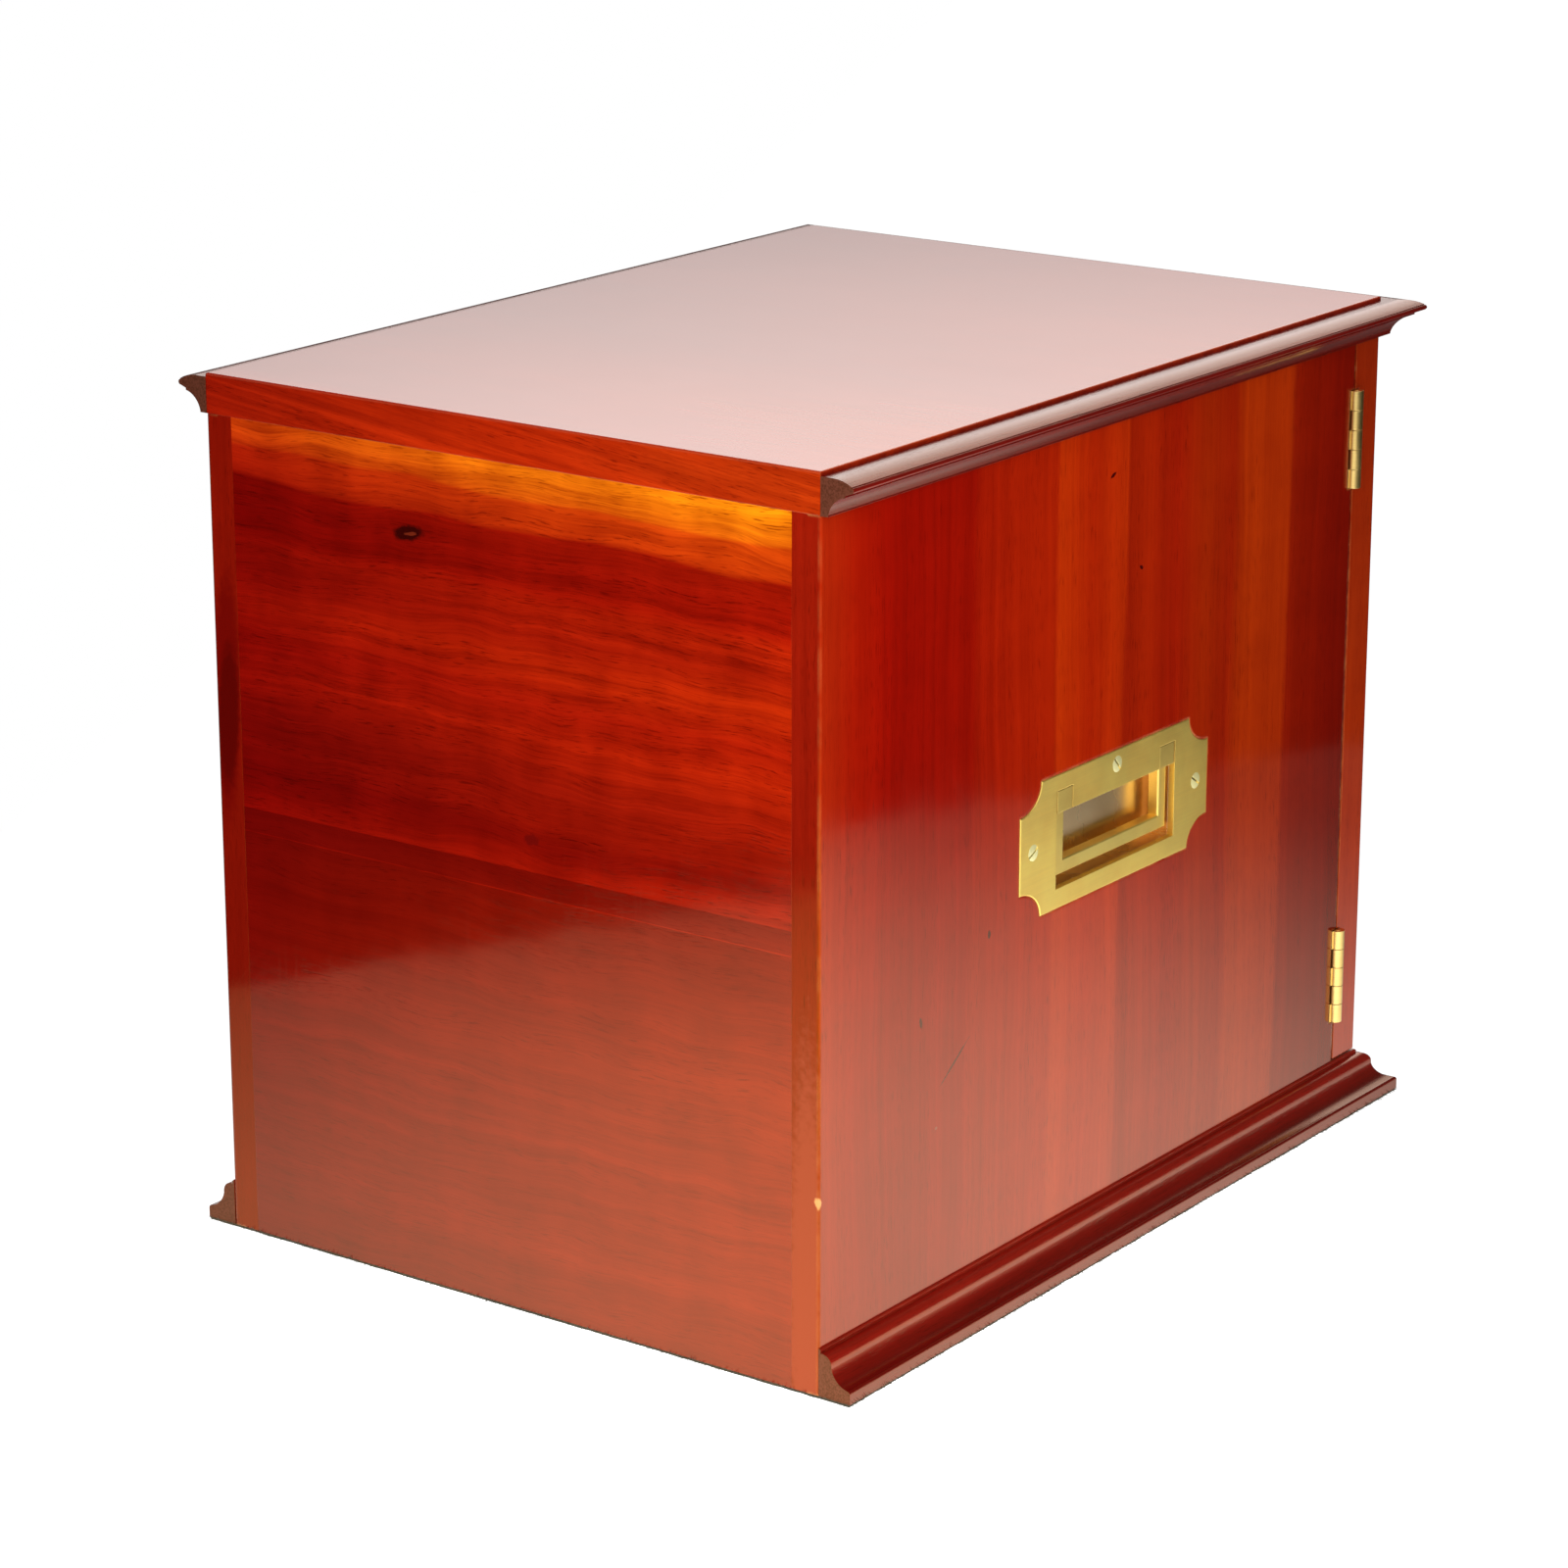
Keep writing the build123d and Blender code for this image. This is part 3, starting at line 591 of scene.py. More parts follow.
SIDE_MARKS = [
    ((-133.5, 6, 288.7), (3, 2.4, 0.9), (1, 0, 0), 20, FLECK, 0.6),
    ((-133.5, -14, 251.2), (3, 1.6, 0.8), (1, 0, 0), -30, FLECK, 0.6),
    ((-133.5, 124, 118.3), (3, 1.0, 2.4), (1, 0, 0), 12, (50, 10, 10), 0.6),
    ((-133.5, 82, 139.0), (3, 1.1, 1.9), (1, 0, 0), 0, (60, 12, 12), 0.9),
    ((-133.5, 114, 76.7), (3, 1.2, 0.7), (1, 0, 0), 0, (120, 60, 50), 0.9),
    ((-133.5, 102.5, 98.2), (3, 13, 0.6), (1, 0, 0), 36, (52, 10, 10), 0.8),
    # A painted pale reflection of the floor, a bloom over the lower part of the back edge near the corner.
    ((-128, 184.4, 30), (10, 1.2, 125), (0, 1, 0), 0, (140, 46, 34), 0.5),
    ((-133, 184, 71), (2.0, 1.5, 2.4), (1, 0, 0), 0, (214, 150, 92), 1.2),
]
RIGHT_MARKS = [
    ((128.0, 184.5, 205), (8.0, 3, 58), (0, 1, 0), 2, (112, 7, 3), 0.3),
    ((127.5, 184.5, 198), (6.0, 3, 34), (0, 1, 0), 3, (90, 4, 2), 0.3),
]
# Painted light and shade: the sides are tinted darker towards the foot and lighter towards the top.
SIDE_PAINTED_LIGHT = ("z", 60, 300, (0.70, 0.62, 0.8), (1.13, 1.14, 1.0))
BACK_EDGE = [("y", 183.6, 190, (0.66, 0.45, 0.8))]
# The pale worn arris at the near corner is partly rubbed wood and partly a painted highlight.
left_wood = polished("mahogany_left_side", "up the side", SIDE_BANDS, slant=0.012, wander=0.010,
                     streaks=0.15, lines=0.09, pores=0.6,
                     radius=0.0015, wear=1.0, outer_edges=True, marks=SIDE_MARKS, painted_light=SIDE_PAINTED_LIGHT,
                     strips=BACK_EDGE, film=THICK_SHELLAC)
right_wood = polished("mahogany_right_side", "up the side", SIDE_BANDS, slant=-0.02, wander=0.014,
                      radius=0.0015, wear=0.8, outer_edges=True, marks=RIGHT_MARKS, painted_light=SIDE_PAINTED_LIGHT,
                      strips=BACK_EDGE, film=THICK_SHELLAC)
finish_nodes(left_wood, "left_side")
finish_nodes(right_wood, "right_side")

# %% [markdown]
# The back is two boards, one above the other, with their grain level. The upper one was cut near the
# outside of the tree and has a golden streak of sapwood along its top and a knot below it; the lower one
# is plainer and browner, and a dark band marks where they meet. Its colour is painted lighter and more
# orange towards the near corner, and its lowest bands are painted darker as shade at the foot.

# %% The back panel
# The two lowest stops are darkened as painted shade where the back meets the floor.
BACK_BANDS = [
    (1, (134, 17, 4)), (30, (150, 21, 4)), (64, (150, 20, 4)), (100, (156, 23, 4)), (130, (148, 18, 3)),
    (160, (140, 14, 3)), (172, (124, 8, 2)), (178, (110, 5, 2)), (186, (118, 8, 2)), (200, (130, 12, 3)),
    (214, (150, 18, 3)), (226, (144, 14, 3)), (240, (156, 22, 3)), (252, (142, 15, 3)),
    (262, (148, 17, 3)), (268, (134, 9, 2)), (276, (126, 7, 2)), (286.4, (132, 10, 2)),
    (287.2, (164, 32, 4)), (297.6, (178, 42, 5)), (298.5, (198, 66, 7)), (308.5, (224, 96, 9)),
]
BACK_STRIPS = [
    ("z", 0, 156.5, (0.60, 0.62, 0.8)),
    ("z", 156.5, 165.5, (0.58, 0.5, 0.8)),
]
BACK_MARKS = [
    ((41, 184.5, 278), (8.4, 3, 3.5), (0, 1, 0), -10, (52, 3, 2), 0.45),
    ((40, 184.5, 277.8), (3.4, 3, 0.8), (0, 1, 0), -8, (108, 34, 16), 0.9),
    ((-11.5, 184.5, 177), (4.2, 3, 2.4), (0, 1, 0), 0, (100, 7, 4), 0.9),
]
# Painted light: the back is lighter and more orange towards the near corner, darker at the far one.
BACK_PAINTED_LIGHT = ("x", -133, 133, (1.28, 2.3, 1.3), (0.84, 0.38, 0.9))
LOWER_BOARD_CALM = (165.5, 166.5, 0.6, 1.0)
back_wood = polished("mahogany_back_panel", "along the front", BACK_BANDS, slant=-0.022, wander=0.017,
                     streaks=0.25, figure=0.18, lines=0.19, pores=0.9, wave=0.0026, calm=LOWER_BOARD_CALM,
                     radius=0.0002, wear=0.2, painted_light=BACK_PAINTED_LIGHT, strips=BACK_STRIPS, marks=BACK_MARKS)
finish_nodes(back_wood, "back_panel")

# %% [markdown]
# The top board, the bottom board and the rail behind the plinth run across the case. The top's bare edge
# at the back is a warm orange red with lively grain, while the face above it was polished flat and shows
# little. The bottom board and the rail are out of sight, so they are plainer and less polished.

# %% Top, bottom and plinth rail
TOP_BANDS = [
    (-184, (150, 34, 8)), (-60, (158, 42, 10)), (40, (150, 36, 8)), (120, (164, 46, 10)),
    (178, (158, 38, 7)), (182, (168, 34, 5)), (185, (176, 38, 5)),
]
PLAIN_BANDS = [(-200, (128, 44, 20)), (0, (138, 52, 24)), (200, (122, 40, 18))]
BOARD_ENDS = [("x", -134, -132.7, (0.55, 0.30, 0.6)), ("x", 132.7, 134, (0.55, 0.30, 0.6))]
# Painted light: the top is lighter and warmer towards the near side, darker towards the far side.
TOP_PAINTED_LIGHT = ("x", -133, 133, (1.38, 1.7, 1.0), (0.80, 0.5, 1.0))
TOP_FACE_CALM = (322.0, 322.8, 1.0, 0.25)
top_wood = polished("mahogany_top_board", "across the top", TOP_BANDS, slant=0.06, wander=0.02, dive=-0.11,
                    streaks=0.40, lines=0.16, pores=0.9, calm=TOP_FACE_CALM, radius=0.0005, wear=0.4,
                    gloss=0.09, ripple=0.00001, relief=0.0, scratches=0.005, painted_light=TOP_PAINTED_LIGHT,
                    strips=BOARD_ENDS)
plain_wood = polished("mahogany_inside", "across the top", PLAIN_BANDS, wander=0.03, gloss=0.34, wear=0.1)
finish_nodes(top_wood, "top_board")
finish_nodes(plain_wood, "bottom_board", "plinth_rail")

# %% [markdown]
# The mouldings are worked from a darker length of mahogany. They run along the sides and across the
# front and are mitred at the front corners. At the back they are simply sawn off flush, and end grain
# drinks up polish and stays dark and dull, so those ends get their own colour and roughness where the
# face looks straight back.

# %% The mouldings
MOULDING_BANDS = [
    (0, (86, 6, 4)), (6, (92, 5, 4)), (13, (116, 12, 7)), (19, (128, 22, 12)), (306, (108, 22, 14)),
    (312, (96, 8, 5)), (318, (116, 14, 9)), (323, (96, 8, 5)),
]
END_GRAIN, END_PORES = colour(92, 46, 38), colour(62, 26, 22)
SAWN_ROUGHNESS = 0.55


def moulding_wood(name, order):
    made = polished(name, order, MOULDING_BANDS, wander=0.003, streaks=0.20, lines=0.12, pores=0.6,
                    radius=0.00025, wear=0.16, gloss=0.18, film=THICK_SHELLAC, relief=0.00002)
    tree = made.node_tree
    inputs = tree.nodes["Principled BSDF"].inputs
    facing_back = add(tree, "SeparateXYZ")
    feed(tree, facing_back.inputs[0], add(tree, "NewGeometry").outputs["True Normal"])
    sawn = spread(tree, facing_back.outputs[1], 0.90, 0.98)
    speckle = noise(tree, object_place(tree), 1600.0, 3.0)
    rings = ramp(tree, speckle, [(0.35, END_PORES), (0.6, END_GRAIN)])
    base, rough = (inputs[name].links[0].from_socket for name in ("Base Color", "Roughness"))
    feed(tree, inputs["Base Color"], mix_colour(tree, "MIX", sawn, base, rings))
    duller = math_node(tree, "SUBTRACT", SAWN_ROUGHNESS, rough)
    feed(tree, inputs["Roughness"], math_node(tree, "MULTIPLY_ADD", sawn, duller, rough))
    return made


side_moulding = moulding_wood("mahogany_side_moulding", "along the side")
front_moulding = moulding_wood("mahogany_front_moulding", "along the front")
finish_nodes(side_moulding, "cornice_left", "cornice_right", "base_moulding_left", "base_moulding_right")
finish_nodes(front_moulding, "cornice_front", "base_moulding_front")

# %% [markdown]
# The door is a frame of two stiles, whose grain is upright, and two rails, whose grain is level, with
# thin beads holding its glass. The stile's edge is a touch brighter than the side board beside it.

# %% The door frame
STILE_BANDS = [
    (-135, (160, 44, 8)), (-118, (150, 34, 6)), (-100, (158, 40, 7)), (0, (150, 34, 6)),
    (100, (162, 42, 7)), (118, (148, 32, 5)), (135, (158, 42, 8)),
]
RAIL_BANDS = [
    (18, (158, 42, 8)), (40, (148, 32, 5)), (56, (160, 44, 7)), (270, (156, 40, 7)), (290, (148, 30, 5)),
    (308, (164, 46, 8)),
]
stile_wood = polished("mahogany_stiles", "up the front", STILE_BANDS, slant=0.01, wander=0.012, radius=0.0006,
                      wear=0.4)
rail_wood = polished("mahogany_rails", "along the front", RAIL_BANDS, slant=0.01, wander=0.012, radius=0.0004,
                     wear=0.3)
finish_nodes(stile_wood, "door_left_stile", "door_right_stile", "glazing_bead_left", "glazing_bead_right")
finish_nodes(rail_wood, "door_top_rail", "door_bottom_rail", "glazing_bead_top", "glazing_bead_bottom")

# %% [markdown]
# ## Old glass
#
# The pane is drawn glass, so it is clear but not perfectly flat. A Principled shader with full
# transmission does the bending of light; its roughness only varies where a cloth has left a smear.

# %% The glass
glass, tree, surface = new_material("drawn_glass")
skin = place_group(tree, handled, Gloss=0.0, Patches=0.03, Scratches=0.03, Size=0.6)
waves = bumped(tree, skin["Height"], 0.00006, add(tree, "NewGeometry").outputs["Normal"])
feed_all(tree, surface, Base_Color=(0.96, 0.985, 0.97, 1.0), Transmission_Weight=1.0, IOR=1.5,
         Roughness=skin["Roughness"], Normal=waves)
finish_nodes(glass, "door_glass")

# %% [markdown]
# ## Brass and steel
#
# All the metal is one recipe with different numbers. The handle plates were finished on a belt, so they
# carry fine level lines and look satin; the pan of the handle and the knob were polished; the hinges lie
# between. Brass darkens a little in patches as its lacquer thins, and its edges catch the light.

# %% The metal recipe
BELT_LINES = (60.0, 30.0, 2600.0)


def metal(name, bright, dull, gloss, brushed=0.0, radius=0.0003, tarnish=0.4, patches=0.08, scratches=0.08,
          ripple=0.00003):
    """bright and dull are the metal's two colours, gloss its roughness, brushed how strong its lines are."""
    made, tree, surface = new_material(name)
    place = object_place(tree)
    cloudy = spread(tree, noise(tree, place, 55.0, 4.0, 0.6), 0.35, 0.7)
    cloudy = times(tree, cloudy, tarnish)
    base = mix_colour(tree, "MIX", cloudy, colour(*bright), colour(*dull))
    strokes = stretched(tree, place, BELT_LINES, 3.0, 0.65)
    stroke_shade = spread(tree, strokes, 0.3, 0.7, 1.0 - 0.5 * brushed, 1.0 + 0.5 * brushed)
    lit = vector_node(tree, "SCALE", base)
    feed(tree, lit.node.inputs["Scale"], stroke_shade)
    edge = place_group(tree, edges, Radius=radius, Wear=0.7, Break_up=160.0)
    base = mix_colour(tree, "MIX", edge["Worn"], lit, colour(*bright))
    skin = place_group(tree, handled, Gloss=gloss, Patches=patches, Scratches=scratches, Size=3.0)
    rough = math_node(tree, "MULTIPLY_ADD", strokes, 0.3 * brushed, skin["Roughness"])
    normal = bumped(tree, strokes, 0.00001 * brushed, edge["Normal"])
    normal = bumped(tree, skin["Height"], ripple, normal)
    feed_all(tree, surface, Base_Color=base, Roughness=rough, Normal=normal, Metallic=1.0)
    print(name, "polished to", gloss)
    return made


plate_brass = metal("brass_satin", (255, 224, 118), (240, 188, 90), 0.42, brushed=0.07)
bail_brass = metal("brass_bail", (255, 226, 124), (240, 192, 96), 0.38, brushed=0.05, radius=0.0004)
pan_brass = metal("brass_pan", (250, 216, 164), (222, 180, 118), 0.26, tarnish=0.5, patches=0.04,
                  scratches=0.0, ripple=0.000006)
screw_brass = metal("brass_screws", (255, 250, 190), (250, 230, 150), 0.55, radius=0.0002)
slot_brass = metal("brass_slots", (96, 74, 34), (62, 46, 22), 0.55, radius=0.0001)
hinge_brass = metal("brass_hinges", (250, 216, 134), (226, 180, 90), 0.28, brushed=0.15)
knob_brass = metal("brass_knob", (246, 212, 128), (222, 176, 84), 0.09)
steel = metal("steel", (176, 176, 178), (120, 118, 116), 0.30, brushed=0.4)
iron = metal("magnet_iron", (92, 92, 96), (60, 60, 64), 0.42, brushed=0.2)
finish_nodes(plate_brass, "handle_plate_left", "handle_plate_right")
finish_nodes(bail_brass, "handle_bail_left", "handle_bail_right")
finish_nodes(pan_brass, "handle_pan_left", "handle_pan_right")
finish_nodes(hinge_brass, "hinge_case_leaf_upper", "hinge_case_leaf_lower", "hinge_door_leaf_upper",
             "hinge_door_leaf_lower", "hinge_pin_upper", "hinge_pin_lower")
finish_nodes(screw_brass, "handle_pins_left", "handle_pins_right")
finish_nodes(knob_brass, "door_knob")
finish_nodes(steel, "catch_strike", "catch_strike_screw")
finish_nodes(iron, "catch_magnet")

# %% [markdown]
# ## Slotted screws
#
# The plates and hinges are held by small slotted screws with raised heads. One screw is a rule with a few
# sizes: a tapered head that sinks into its seat, a low dome on top, a saw cut across the dome and a
# shank. Geometry Nodes build that screw once from named sizes and put a copy on every point of a small
# mesh that carries only the places and turns of the screws. The copies are made real at the end, because
# an instance wouldn't survive the export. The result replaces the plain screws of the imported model, with
# one mesh for each body that they move with. A few helpers come first, as they did for the shader nodes.

# %% Helpers for geometry trees
def geometry_tree(name, sizes):
    """A geometry node tree with a mesh in, a mesh out and named sizes."""
    tree = bpy.data.node_groups.new(name, "GeometryNodeTree")
    tree.is_modifier = True
    tree.interface.new_socket("Places", in_out="INPUT", socket_type="NodeSocketGeometry")
    for label, kind, value in sizes:
        socket = tree.interface.new_socket(label, in_out="INPUT", socket_type="NodeSocket" + kind)
        if value is not None:
            socket.default_value = value
    tree.interface.new_socket("Result", in_out="OUTPUT", socket_type="NodeSocketGeometry")
    start = tree.nodes.new("NodeGroupInput")
    end = tree.nodes.new("NodeGroupOutput")
    return tree, start.outputs, end.inputs


def geo(tree, kind, settings=None, **inputs):
    made = tree.nodes.new(kind)
    for name, value in (settings or {}).items():
        setattr(made, name, value)
    return feed_all(tree, made, **inputs)


def offset(tree, **parts):
    return geo(tree, "ShaderNodeCombineXYZ", **parts).outputs[0]


def position(tree):
    """The X, Y and Z of each point, as three sockets."""
    spot = geo(tree, "GeometryNodeInputPosition")
    return geo(tree, "ShaderNodeSeparateXYZ", Vector=spot.outputs[0]).outputs


def moved(tree, geometry, by):
    return geo(tree, "GeometryNodeTransform", Geometry=geometry, Translation=by).outputs[0]


print("geometry helpers are ready in", bpy.app.version_string.split()[0])

# %% [markdown]
# The head is a cone set with its wide end at the seat. Points on its top face are lifted by the rule of a
# shallow dome, highest in the middle and nothing at the rim, and a thin block is cut away for the slot.

# %% The screw's head
screw, given, result = geometry_tree(
    "Slotted screw",
    [
        ("Head radius", "Float", 0.003),
        ("Head depth", "Float", 0.0018),
        ("Dome", "Float", 0.0006),
        ("Slot width", "Float", 0.0007),
        ("Slot depth", "Float", 0.0008),
        ("Shank radius", "Float", 0.0012),
        ("Shank length", "Float", 0.008),
        ("Finish", "Material", None),
        ("Slot finish", "Material", None),
    ],
)
head = geo(
    screw, "GeometryNodeMeshCone", {"fill_type": "TRIANGLE_FAN"}, Vertices=40, Side_Segments=1,
    Fill_Segments=6, Radius_Top=given["Head radius"], Radius_Bottom=given["Shank radius"],
    Depth=given["Head depth"],
)
down = offset(screw, Z=times(screw, given["Head depth"], -1.0))
seated = moved(screw, head.outputs["Mesh"], down)
x, y, z = position(screw)
from_axis = plus(screw, *(times(screw, v, v) for v in (x, y)))
rim_square = times(screw, given["Head radius"], given["Head radius"])
outward = math_node(screw, "DIVIDE", from_axis, rim_square)
rise = times(screw, math_node(screw, "SUBTRACT", 1.0, outward), given["Dome"])
on_top = math_node(screw, "GREATER_THAN", z, -0.00001)
lift = offset(screw, Z=times(screw, rise, on_top))
domed = geo(screw, "GeometryNodeSetPosition", Geometry=seated, Offset=lift)
cut_size = offset(screw, X=times(screw, given["Head radius"], 3.0), Y=given["Slot width"],
                  Z=times(screw, given["Slot depth"], 2.0))
cutter = geo(screw, "GeometryNodeMeshCube", Size=cut_size)
cutter = moved(screw, cutter.outputs["Mesh"], offset(screw, Z=given["Dome"]))
slotted = geo(screw, "GeometryNodeMeshBoolean", {"operation": "DIFFERENCE", "solver": "EXACT"},
              Mesh_1=domed.outputs[0], Mesh_2=cutter)
print("the head takes", len(screw.nodes), "nodes")

# %% [markdown]
# The shank hangs under the head. Faces below the seat are marked as sunk, so that the floor of the slot
# can take a darker brass than the head, and then one copy goes to each place with its own turn.

# %% The shank and the copies
SUNK_BELOW = -0.00005
shank = geo(
    screw, "GeometryNodeMeshCone", {"fill_type": "NGON"}, Vertices=20, Side_Segments=1,
    Radius_Top=given["Shank radius"], Depth=given["Shank length"],
    Radius_Bottom=times(screw, given["Shank radius"], 0.45),
)
shank_down = plus(screw, given["Head depth"], given["Shank length"])
shank_at = offset(screw, Z=times(screw, shank_down, -1.0))
whole = geo(screw, "GeometryNodeJoinGeometry")
for part in (moved(screw, shank.outputs["Mesh"], shank_at), slotted.outputs["Mesh"]):
    screw.links.new(part, whole.inputs[0])
sunk = geo(screw, "FunctionNodeCompare", {"data_type": "FLOAT", "operation": "LESS_THAN"})
feed(screw, sunk.inputs[0], position(screw)[2])
feed(screw, sunk.inputs[1], SUNK_BELOW)
marked = geo(screw, "GeometryNodeStoreNamedAttribute", {"data_type": "BOOLEAN", "domain": "FACE"},
             Geometry=whole.outputs[0], Name="sunk", Value=sunk.outputs[0])
turn = geo(screw, "GeometryNodeInputNamedAttribute", {"data_type": "FLOAT_VECTOR"}, Name="turn")
copies = geo(screw, "GeometryNodeInstanceOnPoints", Points=given["Places"], Instance=marked.outputs[0])
screw.links.new(turn.outputs["Attribute"], copies.inputs["Rotation"])
real = geo(screw, "GeometryNodeRealizeInstances", Geometry=copies.outputs[0])
done = geo(screw, "GeometryNodeSetMaterial", Geometry=real.outputs[0], Material=given["Finish"])
dark = geo(screw, "GeometryNodeInputNamedAttribute", {"data_type": "BOOLEAN"}, Name="sunk")
done = geo(screw, "GeometryNodeSetMaterial", Geometry=done.outputs[0], Selection=dark.outputs["Attribute"],
           Material=given["Slot finish"])
screw.links.new(done.outputs[0], result[0])
print("tree", screw.name, "with", len(screw.nodes), "nodes")

# %% [markdown]
# The modifier's sizes are set by each socket's identifier, because two sockets may share a name. The
# evaluated result is copied into a plain mesh, and the object that carried the points is thrown away.

# %% Set screws on their points
def from_tree(name, tree, base_mesh, sizes):
    carrier = new_object(name + "_points", base_mesh)
    modifier = carrier.modifiers.new("maker", "NODES")
    modifier.node_group = tree
    for item in tree.interface.items_tree:
        if item.item_type == "SOCKET" and item.in_out == "INPUT" and item.name in sizes:
            modifier[item.identifier] = sizes[item.name]
    bpy.context.view_layer.update()
    view = bpy.context.evaluated_depsgraph_get()
    mesh = bpy.data.meshes.new_from_object(carrier.evaluated_get(view), depsgraph=view)
    bpy.data.objects.remove(carrier)
    mesh.name = name
    return new_object(name, mesh)


SHARP_ANGLE = 32


def screws(name, finish, places, sizes):
    """places are (point, outward direction, turn of the slot in degrees)."""
    mesh = bpy.data.meshes.new(name + "_points")
    mesh.from_pydata([tuple(at) for at, _, _ in places], [], [])
    turns = mesh.attributes.new("turn", "FLOAT_VECTOR", "POINT")
    for item, (_, outward, slot) in zip(turns.data, places):
        aim = Vector(outward).to_track_quat("Z", "Y").to_matrix()
        item.vector = (aim @ Matrix.Rotation(math.radians(slot), 3, "Z")).to_euler("XYZ")
    made = from_tree(name, screw, mesh, {**sizes, "Finish": finish, "Slot finish": slot_brass})
    made.data.attributes.remove(made.data.attributes["sunk"])
    for face in made.data.polygons:
        face.use_smooth = True
    made.data.set_sharp_from_angle(angle=math.radians(SHARP_ANGLE))
    print(name, len(places), "screws,", len(made.data.polygons), "faces")
    return made


PLATE_SCREWS = [(54.9, 0.0, 28), (-54.9, 0.0, -35), (0.0, 19.5, -50)]
PLATE_SCREW_SIZES = {
    "Head radius": 0.00305, "Head depth": 0.0017, "Dome": 0.00025, "Slot width": 0.0008,
    "Slot depth": 0.0011, "Shank radius": 0.0014, "Shank length": 0.0078,
}
handle_places = []
for side, outward in (("left", -1), ("right", 1)):
    low, high = (Vector(v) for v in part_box("handle_plate_" + side))
    face_x = low.x if outward < 0 else high.x
    middle = (low + high) / 2
    for along, up, slot in PLATE_SCREWS:
        at = (face_x, middle.y - outward * along / 1000, middle.z + up / 1000)
        handle_places.append((at, (outward, 0, 0), slot))
plate_screws = screws("handle_screws_made", screw_brass, handle_places, PLATE_SCREW_SIZES)
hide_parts("handle_screws")
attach(plate_screws, "case")

HINGE_SCREW_SIZES = {
    "Head radius": 0.0023, "Head depth": 0.0012, "Dome": 0.0, "Slot width": 0.0005,
    "Slot depth": 0.0008, "Shank radius": 0.0011, "Shank length": 0.0073,
}
HINGE_SCREW_STEP = 0.0095
for name, body, outward, slot in (
    ("hinge_case_screws", "case", -1, 20),
    ("hinge_door_screws", "door", 1, 70),
):
    low, high = (Vector(v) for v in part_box(name))
    face_y = low.y if outward < 0 else high.y
    middle_x = (low.x + high.x) / 2
    places = []
    for hinge in ("upper", "lower"):
        leaf_low, leaf_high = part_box(name.split("_screws")[0] + "_leaf_" + hinge)
        middle_z = (leaf_low[2] + leaf_high[2]) / 2
        for step in (-HINGE_SCREW_STEP, HINGE_SCREW_STEP):
            places.append(((middle_x, face_y, middle_z + step), (0, outward, 0), slot))
    made = screws(name + "_made", screw_brass, places, HINGE_SCREW_SIZES)
    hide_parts(name)
    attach(made, body)

# %% [markdown]
# ## The baize under the foot
#
# A sheet of green baize is glued under the case so that it doesn't scratch a table. All that shows is
# its edge, a fuzzy grey-green line where the cut wool has frayed. The cloth is a thin closed sheet whose
# rim wanders a little, as a hand-cut edge does.

# %% The baize
baize_cloth, tree, surface = new_material("baize_cloth")
place = object_place(tree)
felted = noise(tree, place, 1400.0, 3.0, 0.7)
faded = spread(tree, noise(tree, place, 30.0, 2.0), 0.3, 0.7)
green = mix_colour(tree, "MIX", felted, colour(22, 23, 14), colour(80, 74, 48))
base = mix_colour(tree, "MIX", times(tree, faded, 0.5), green, colour(88, 72, 42))
nap = bumped(tree, felted, 0.0003, add(tree, "NewGeometry").outputs["Normal"])
feed_all(tree, surface, Base_Color=base, Roughness=spread(tree, felted, 0.2, 0.8, 0.85, 1.0), Normal=nap,
         Sheen_Weight=0.15, Sheen_Roughness=0.5)

BAIZE_STEP = 0.004
RIM_WANDER = 0.0002
GLUE_GAP = 0.00005
baize_low, baize_high = (Vector(v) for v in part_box("base_baize"))
wide, long = baize_high.x - baize_low.x, baize_high.y - baize_low.y
columns, rows = round(wide / BAIZE_STEP), round(long / BAIZE_STEP)
dice = random.Random(11)
cloth = bmesh.new()
grid = {}
for column in range(columns + 1):
    for row in range(rows + 1):
        x = baize_low.x + wide * column / columns
        y = baize_low.y + long * row / rows
        if column in (0, columns):
            x += dice.uniform(-RIM_WANDER, RIM_WANDER)
        if row in (0, rows):
            y += dice.uniform(-RIM_WANDER, RIM_WANDER)
        for level, z in enumerate((baize_low.z, baize_high.z - GLUE_GAP)):
            grid[column, row, level] = cloth.verts.new((x, y, z))
for column in range(columns):
    for row in range(rows):
        ring = [(column, row), (column + 1, row), (column + 1, row + 1), (column, row + 1)]
        cloth.faces.new([grid[c, r, 1] for c, r in ring])
        cloth.faces.new([grid[c, r, 0] for c, r in reversed(ring)])
rim = [(c, 0) for c in range(columns)] + [(columns, r) for r in range(rows)]
rim += [(c, rows) for c in range(columns, 0, -1)] + [(0, r) for r in range(rows, 0, -1)]
for here, there in zip(rim, rim[1:] + rim[:1]):
    cloth.faces.new([grid[(*here, 0)], grid[(*there, 0)], grid[(*there, 1)], grid[(*here, 1)]])
rim_points = [tuple(grid[(*at, 1)].co) for at in rim]
baize_mesh = bpy.data.meshes.new("baize")
cloth.to_mesh(baize_mesh)
cloth.free()
baize_mesh.materials.append(baize_cloth)
baize = new_object("baize", baize_mesh)
print("baize", round(wide, 4), "by", round(long, 4), "m,", len(baize_mesh.polygons), "faces")

# %% [markdown]
# The fray is thousands of short fibres along the rim, and that is work for Geometry Nodes. The tree walks
# round the rim, sets a thin three-sided fibre at each step, and turns and scales each one by a seeded
# random value. Fibres that would dip through the table are pressed flat on it.

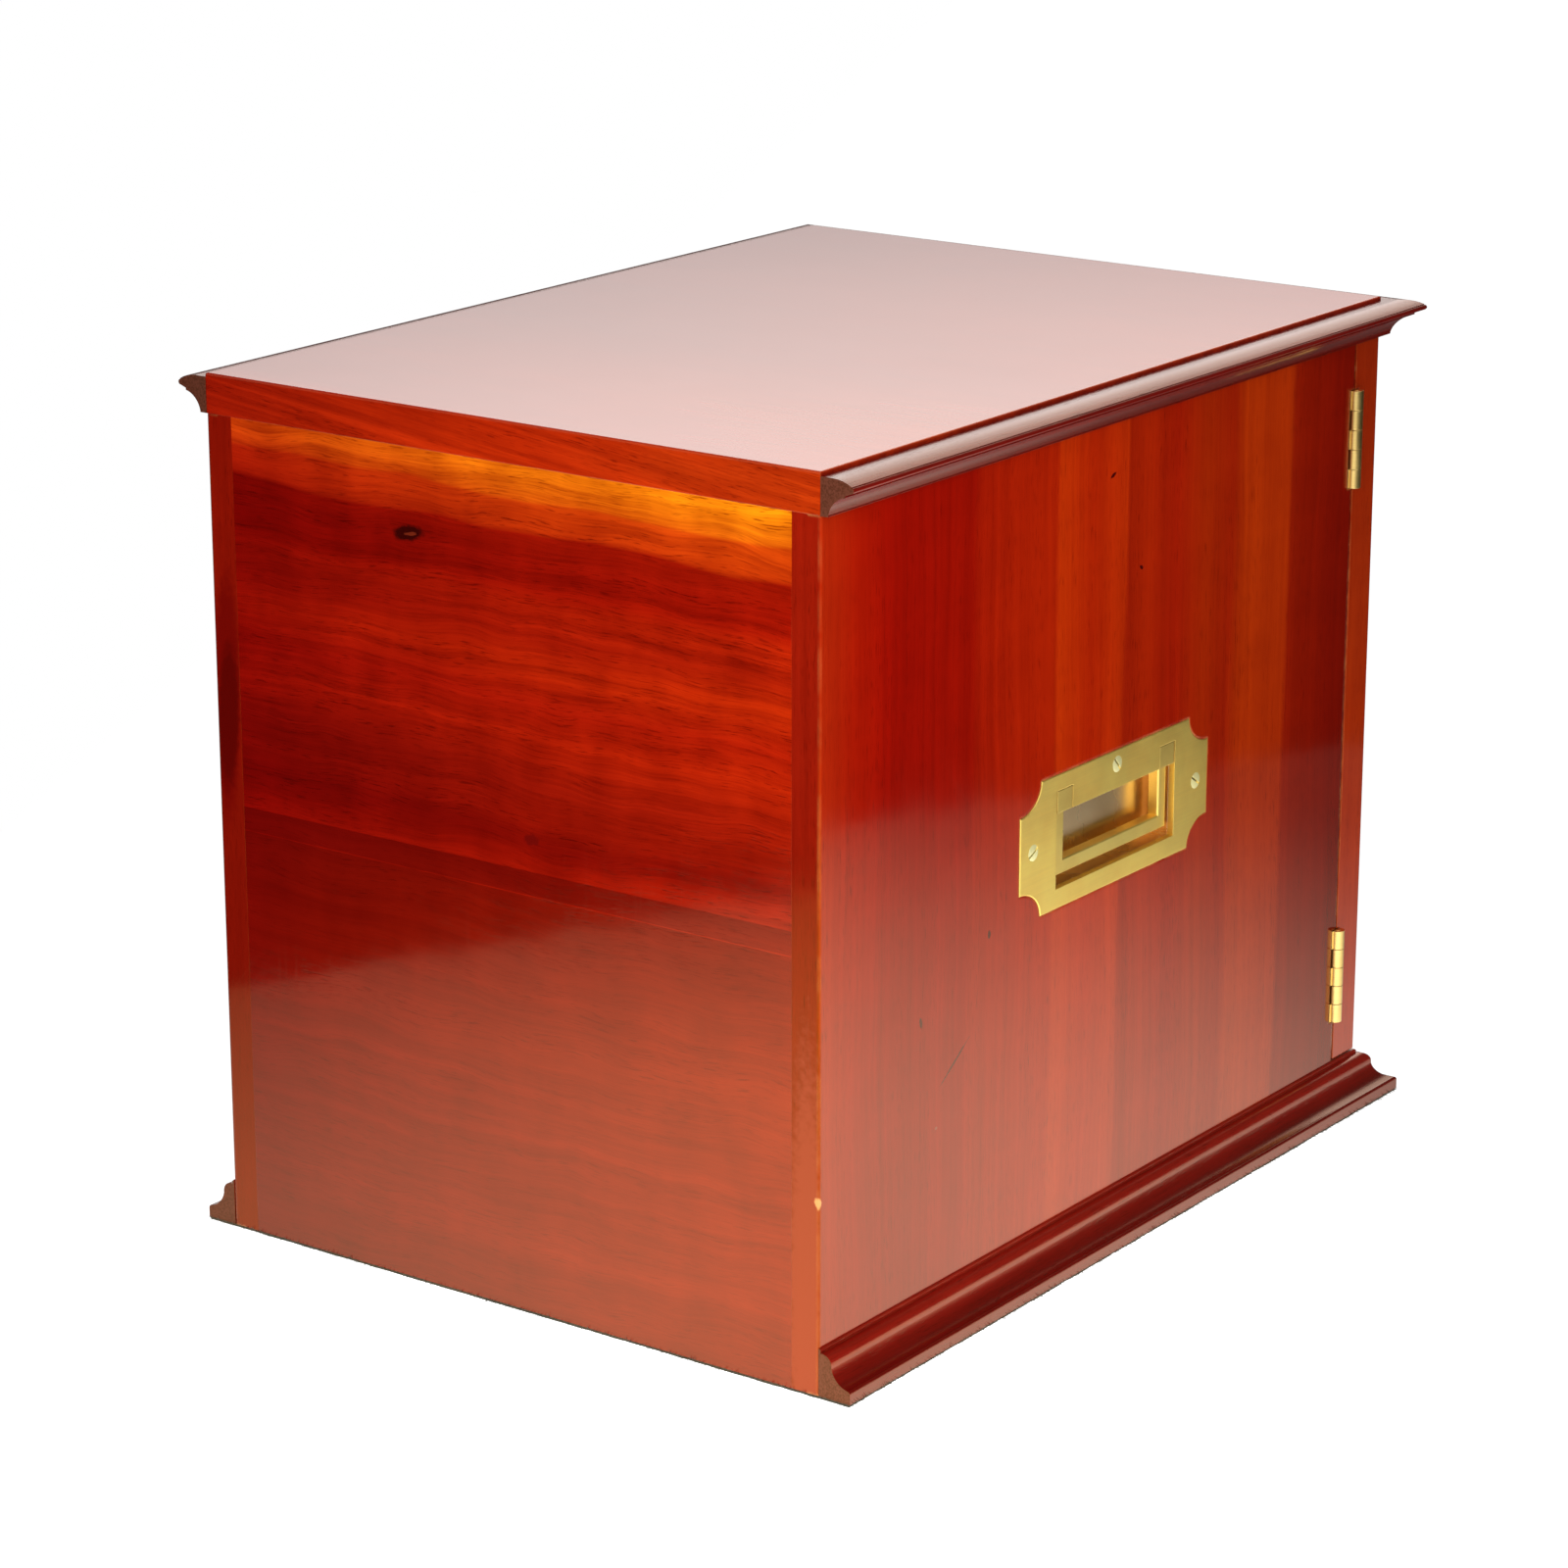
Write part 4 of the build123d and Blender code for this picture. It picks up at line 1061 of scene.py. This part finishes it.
# %% The frayed rim
FIBRE_LEAN = (0.9, 0.9, 3.1)
FIBRE_SCALES = (0.4, 1.3)
RIM_DROP = 0.0004
fray, given, result = geometry_tree(
    "Frayed rim",
    [
        ("Spacing", "Float", 0.00035),
        ("Fibre length", "Float", 0.0017),
        ("Fibre radius", "Float", 0.00011),
        ("Table", "Float", 0.00003),
        ("Seed", "Int", 4),
        ("Finish", "Material", None),
    ],
)
line = geo(fray, "GeometryNodeMeshToCurve", Mesh=given["Places"])
steps = geo(fray, "GeometryNodeCurveToPoints", {"mode": "LENGTH"}, Curve=line.outputs[0],
            Length=given["Spacing"])
fibre = geo(
    fray, "GeometryNodeMeshCone", {"fill_type": "NGON"}, Vertices=3, Side_Segments=2,
    Radius_Top=times(fray, given["Fibre radius"], 0.35),
    Radius_Bottom=given["Fibre radius"], Depth=given["Fibre length"],
)
outward = geo(fray, "ShaderNodeVectorMath", {"operation": "CROSS_PRODUCT"})
feed(fray, outward.inputs[0], steps.outputs["Tangent"])
outward.inputs[1].default_value = (0.0, 0.0, 1.0)
aim = geo(fray, "FunctionNodeAlignRotationToVector", {"axis": "Z"}, Vector=outward.outputs[0])
lean = geo(fray, "FunctionNodeRandomValue", {"data_type": "FLOAT_VECTOR"}, Seed=given["Seed"])
lean.inputs[0].default_value = [-v for v in FIBRE_LEAN]
lean.inputs[1].default_value = FIBRE_LEAN
stray = geo(fray, "FunctionNodeRotateRotation", {"rotation_space": "LOCAL"}, Rotation=aim.outputs[0])
fray.links.new(lean.outputs[0], stray.inputs["Rotate By"])
size = geo(fray, "FunctionNodeRandomValue", {"data_type": "FLOAT"})
size.inputs[2].default_value, size.inputs[3].default_value = FIBRE_SCALES
feed(fray, size.inputs["Seed"], plus(fray, given["Seed"], 1.0))
copies = geo(fray, "GeometryNodeInstanceOnPoints", Points=steps.outputs[0], Instance=fibre.outputs["Mesh"])
fray.links.new(stray.outputs[0], copies.inputs["Rotation"])
fray.links.new(size.outputs[1], copies.inputs["Scale"])
real = geo(fray, "GeometryNodeRealizeInstances", Geometry=copies.outputs[0])
x, y, z = position(fray)
pressed = offset(fray, X=x, Y=y, Z=math_node(fray, "MAXIMUM", z, given["Table"]))
real = geo(fray, "GeometryNodeSetPosition", Geometry=real.outputs[0], Position=pressed)
done = geo(fray, "GeometryNodeSetMaterial", Geometry=real.outputs[0], Material=given["Finish"])
fray.links.new(done.outputs[0], result[0])

rim_mesh = bpy.data.meshes.new("baize_rim")
loop = [(n, (n + 1) % len(rim_points)) for n in range(len(rim_points))]
lowered = [(x, y, z - RIM_DROP) for x, y, z in rim_points]
rim_mesh.from_pydata(lowered, loop, [])
fringe = from_tree("baize_fray", fray, rim_mesh, {"Finish": baize_cloth})
for piece in (baize, fringe):
    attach(piece, "case")
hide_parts("base_baize")
print("fray", len(fringe.data.polygons) // 8, "fibres")
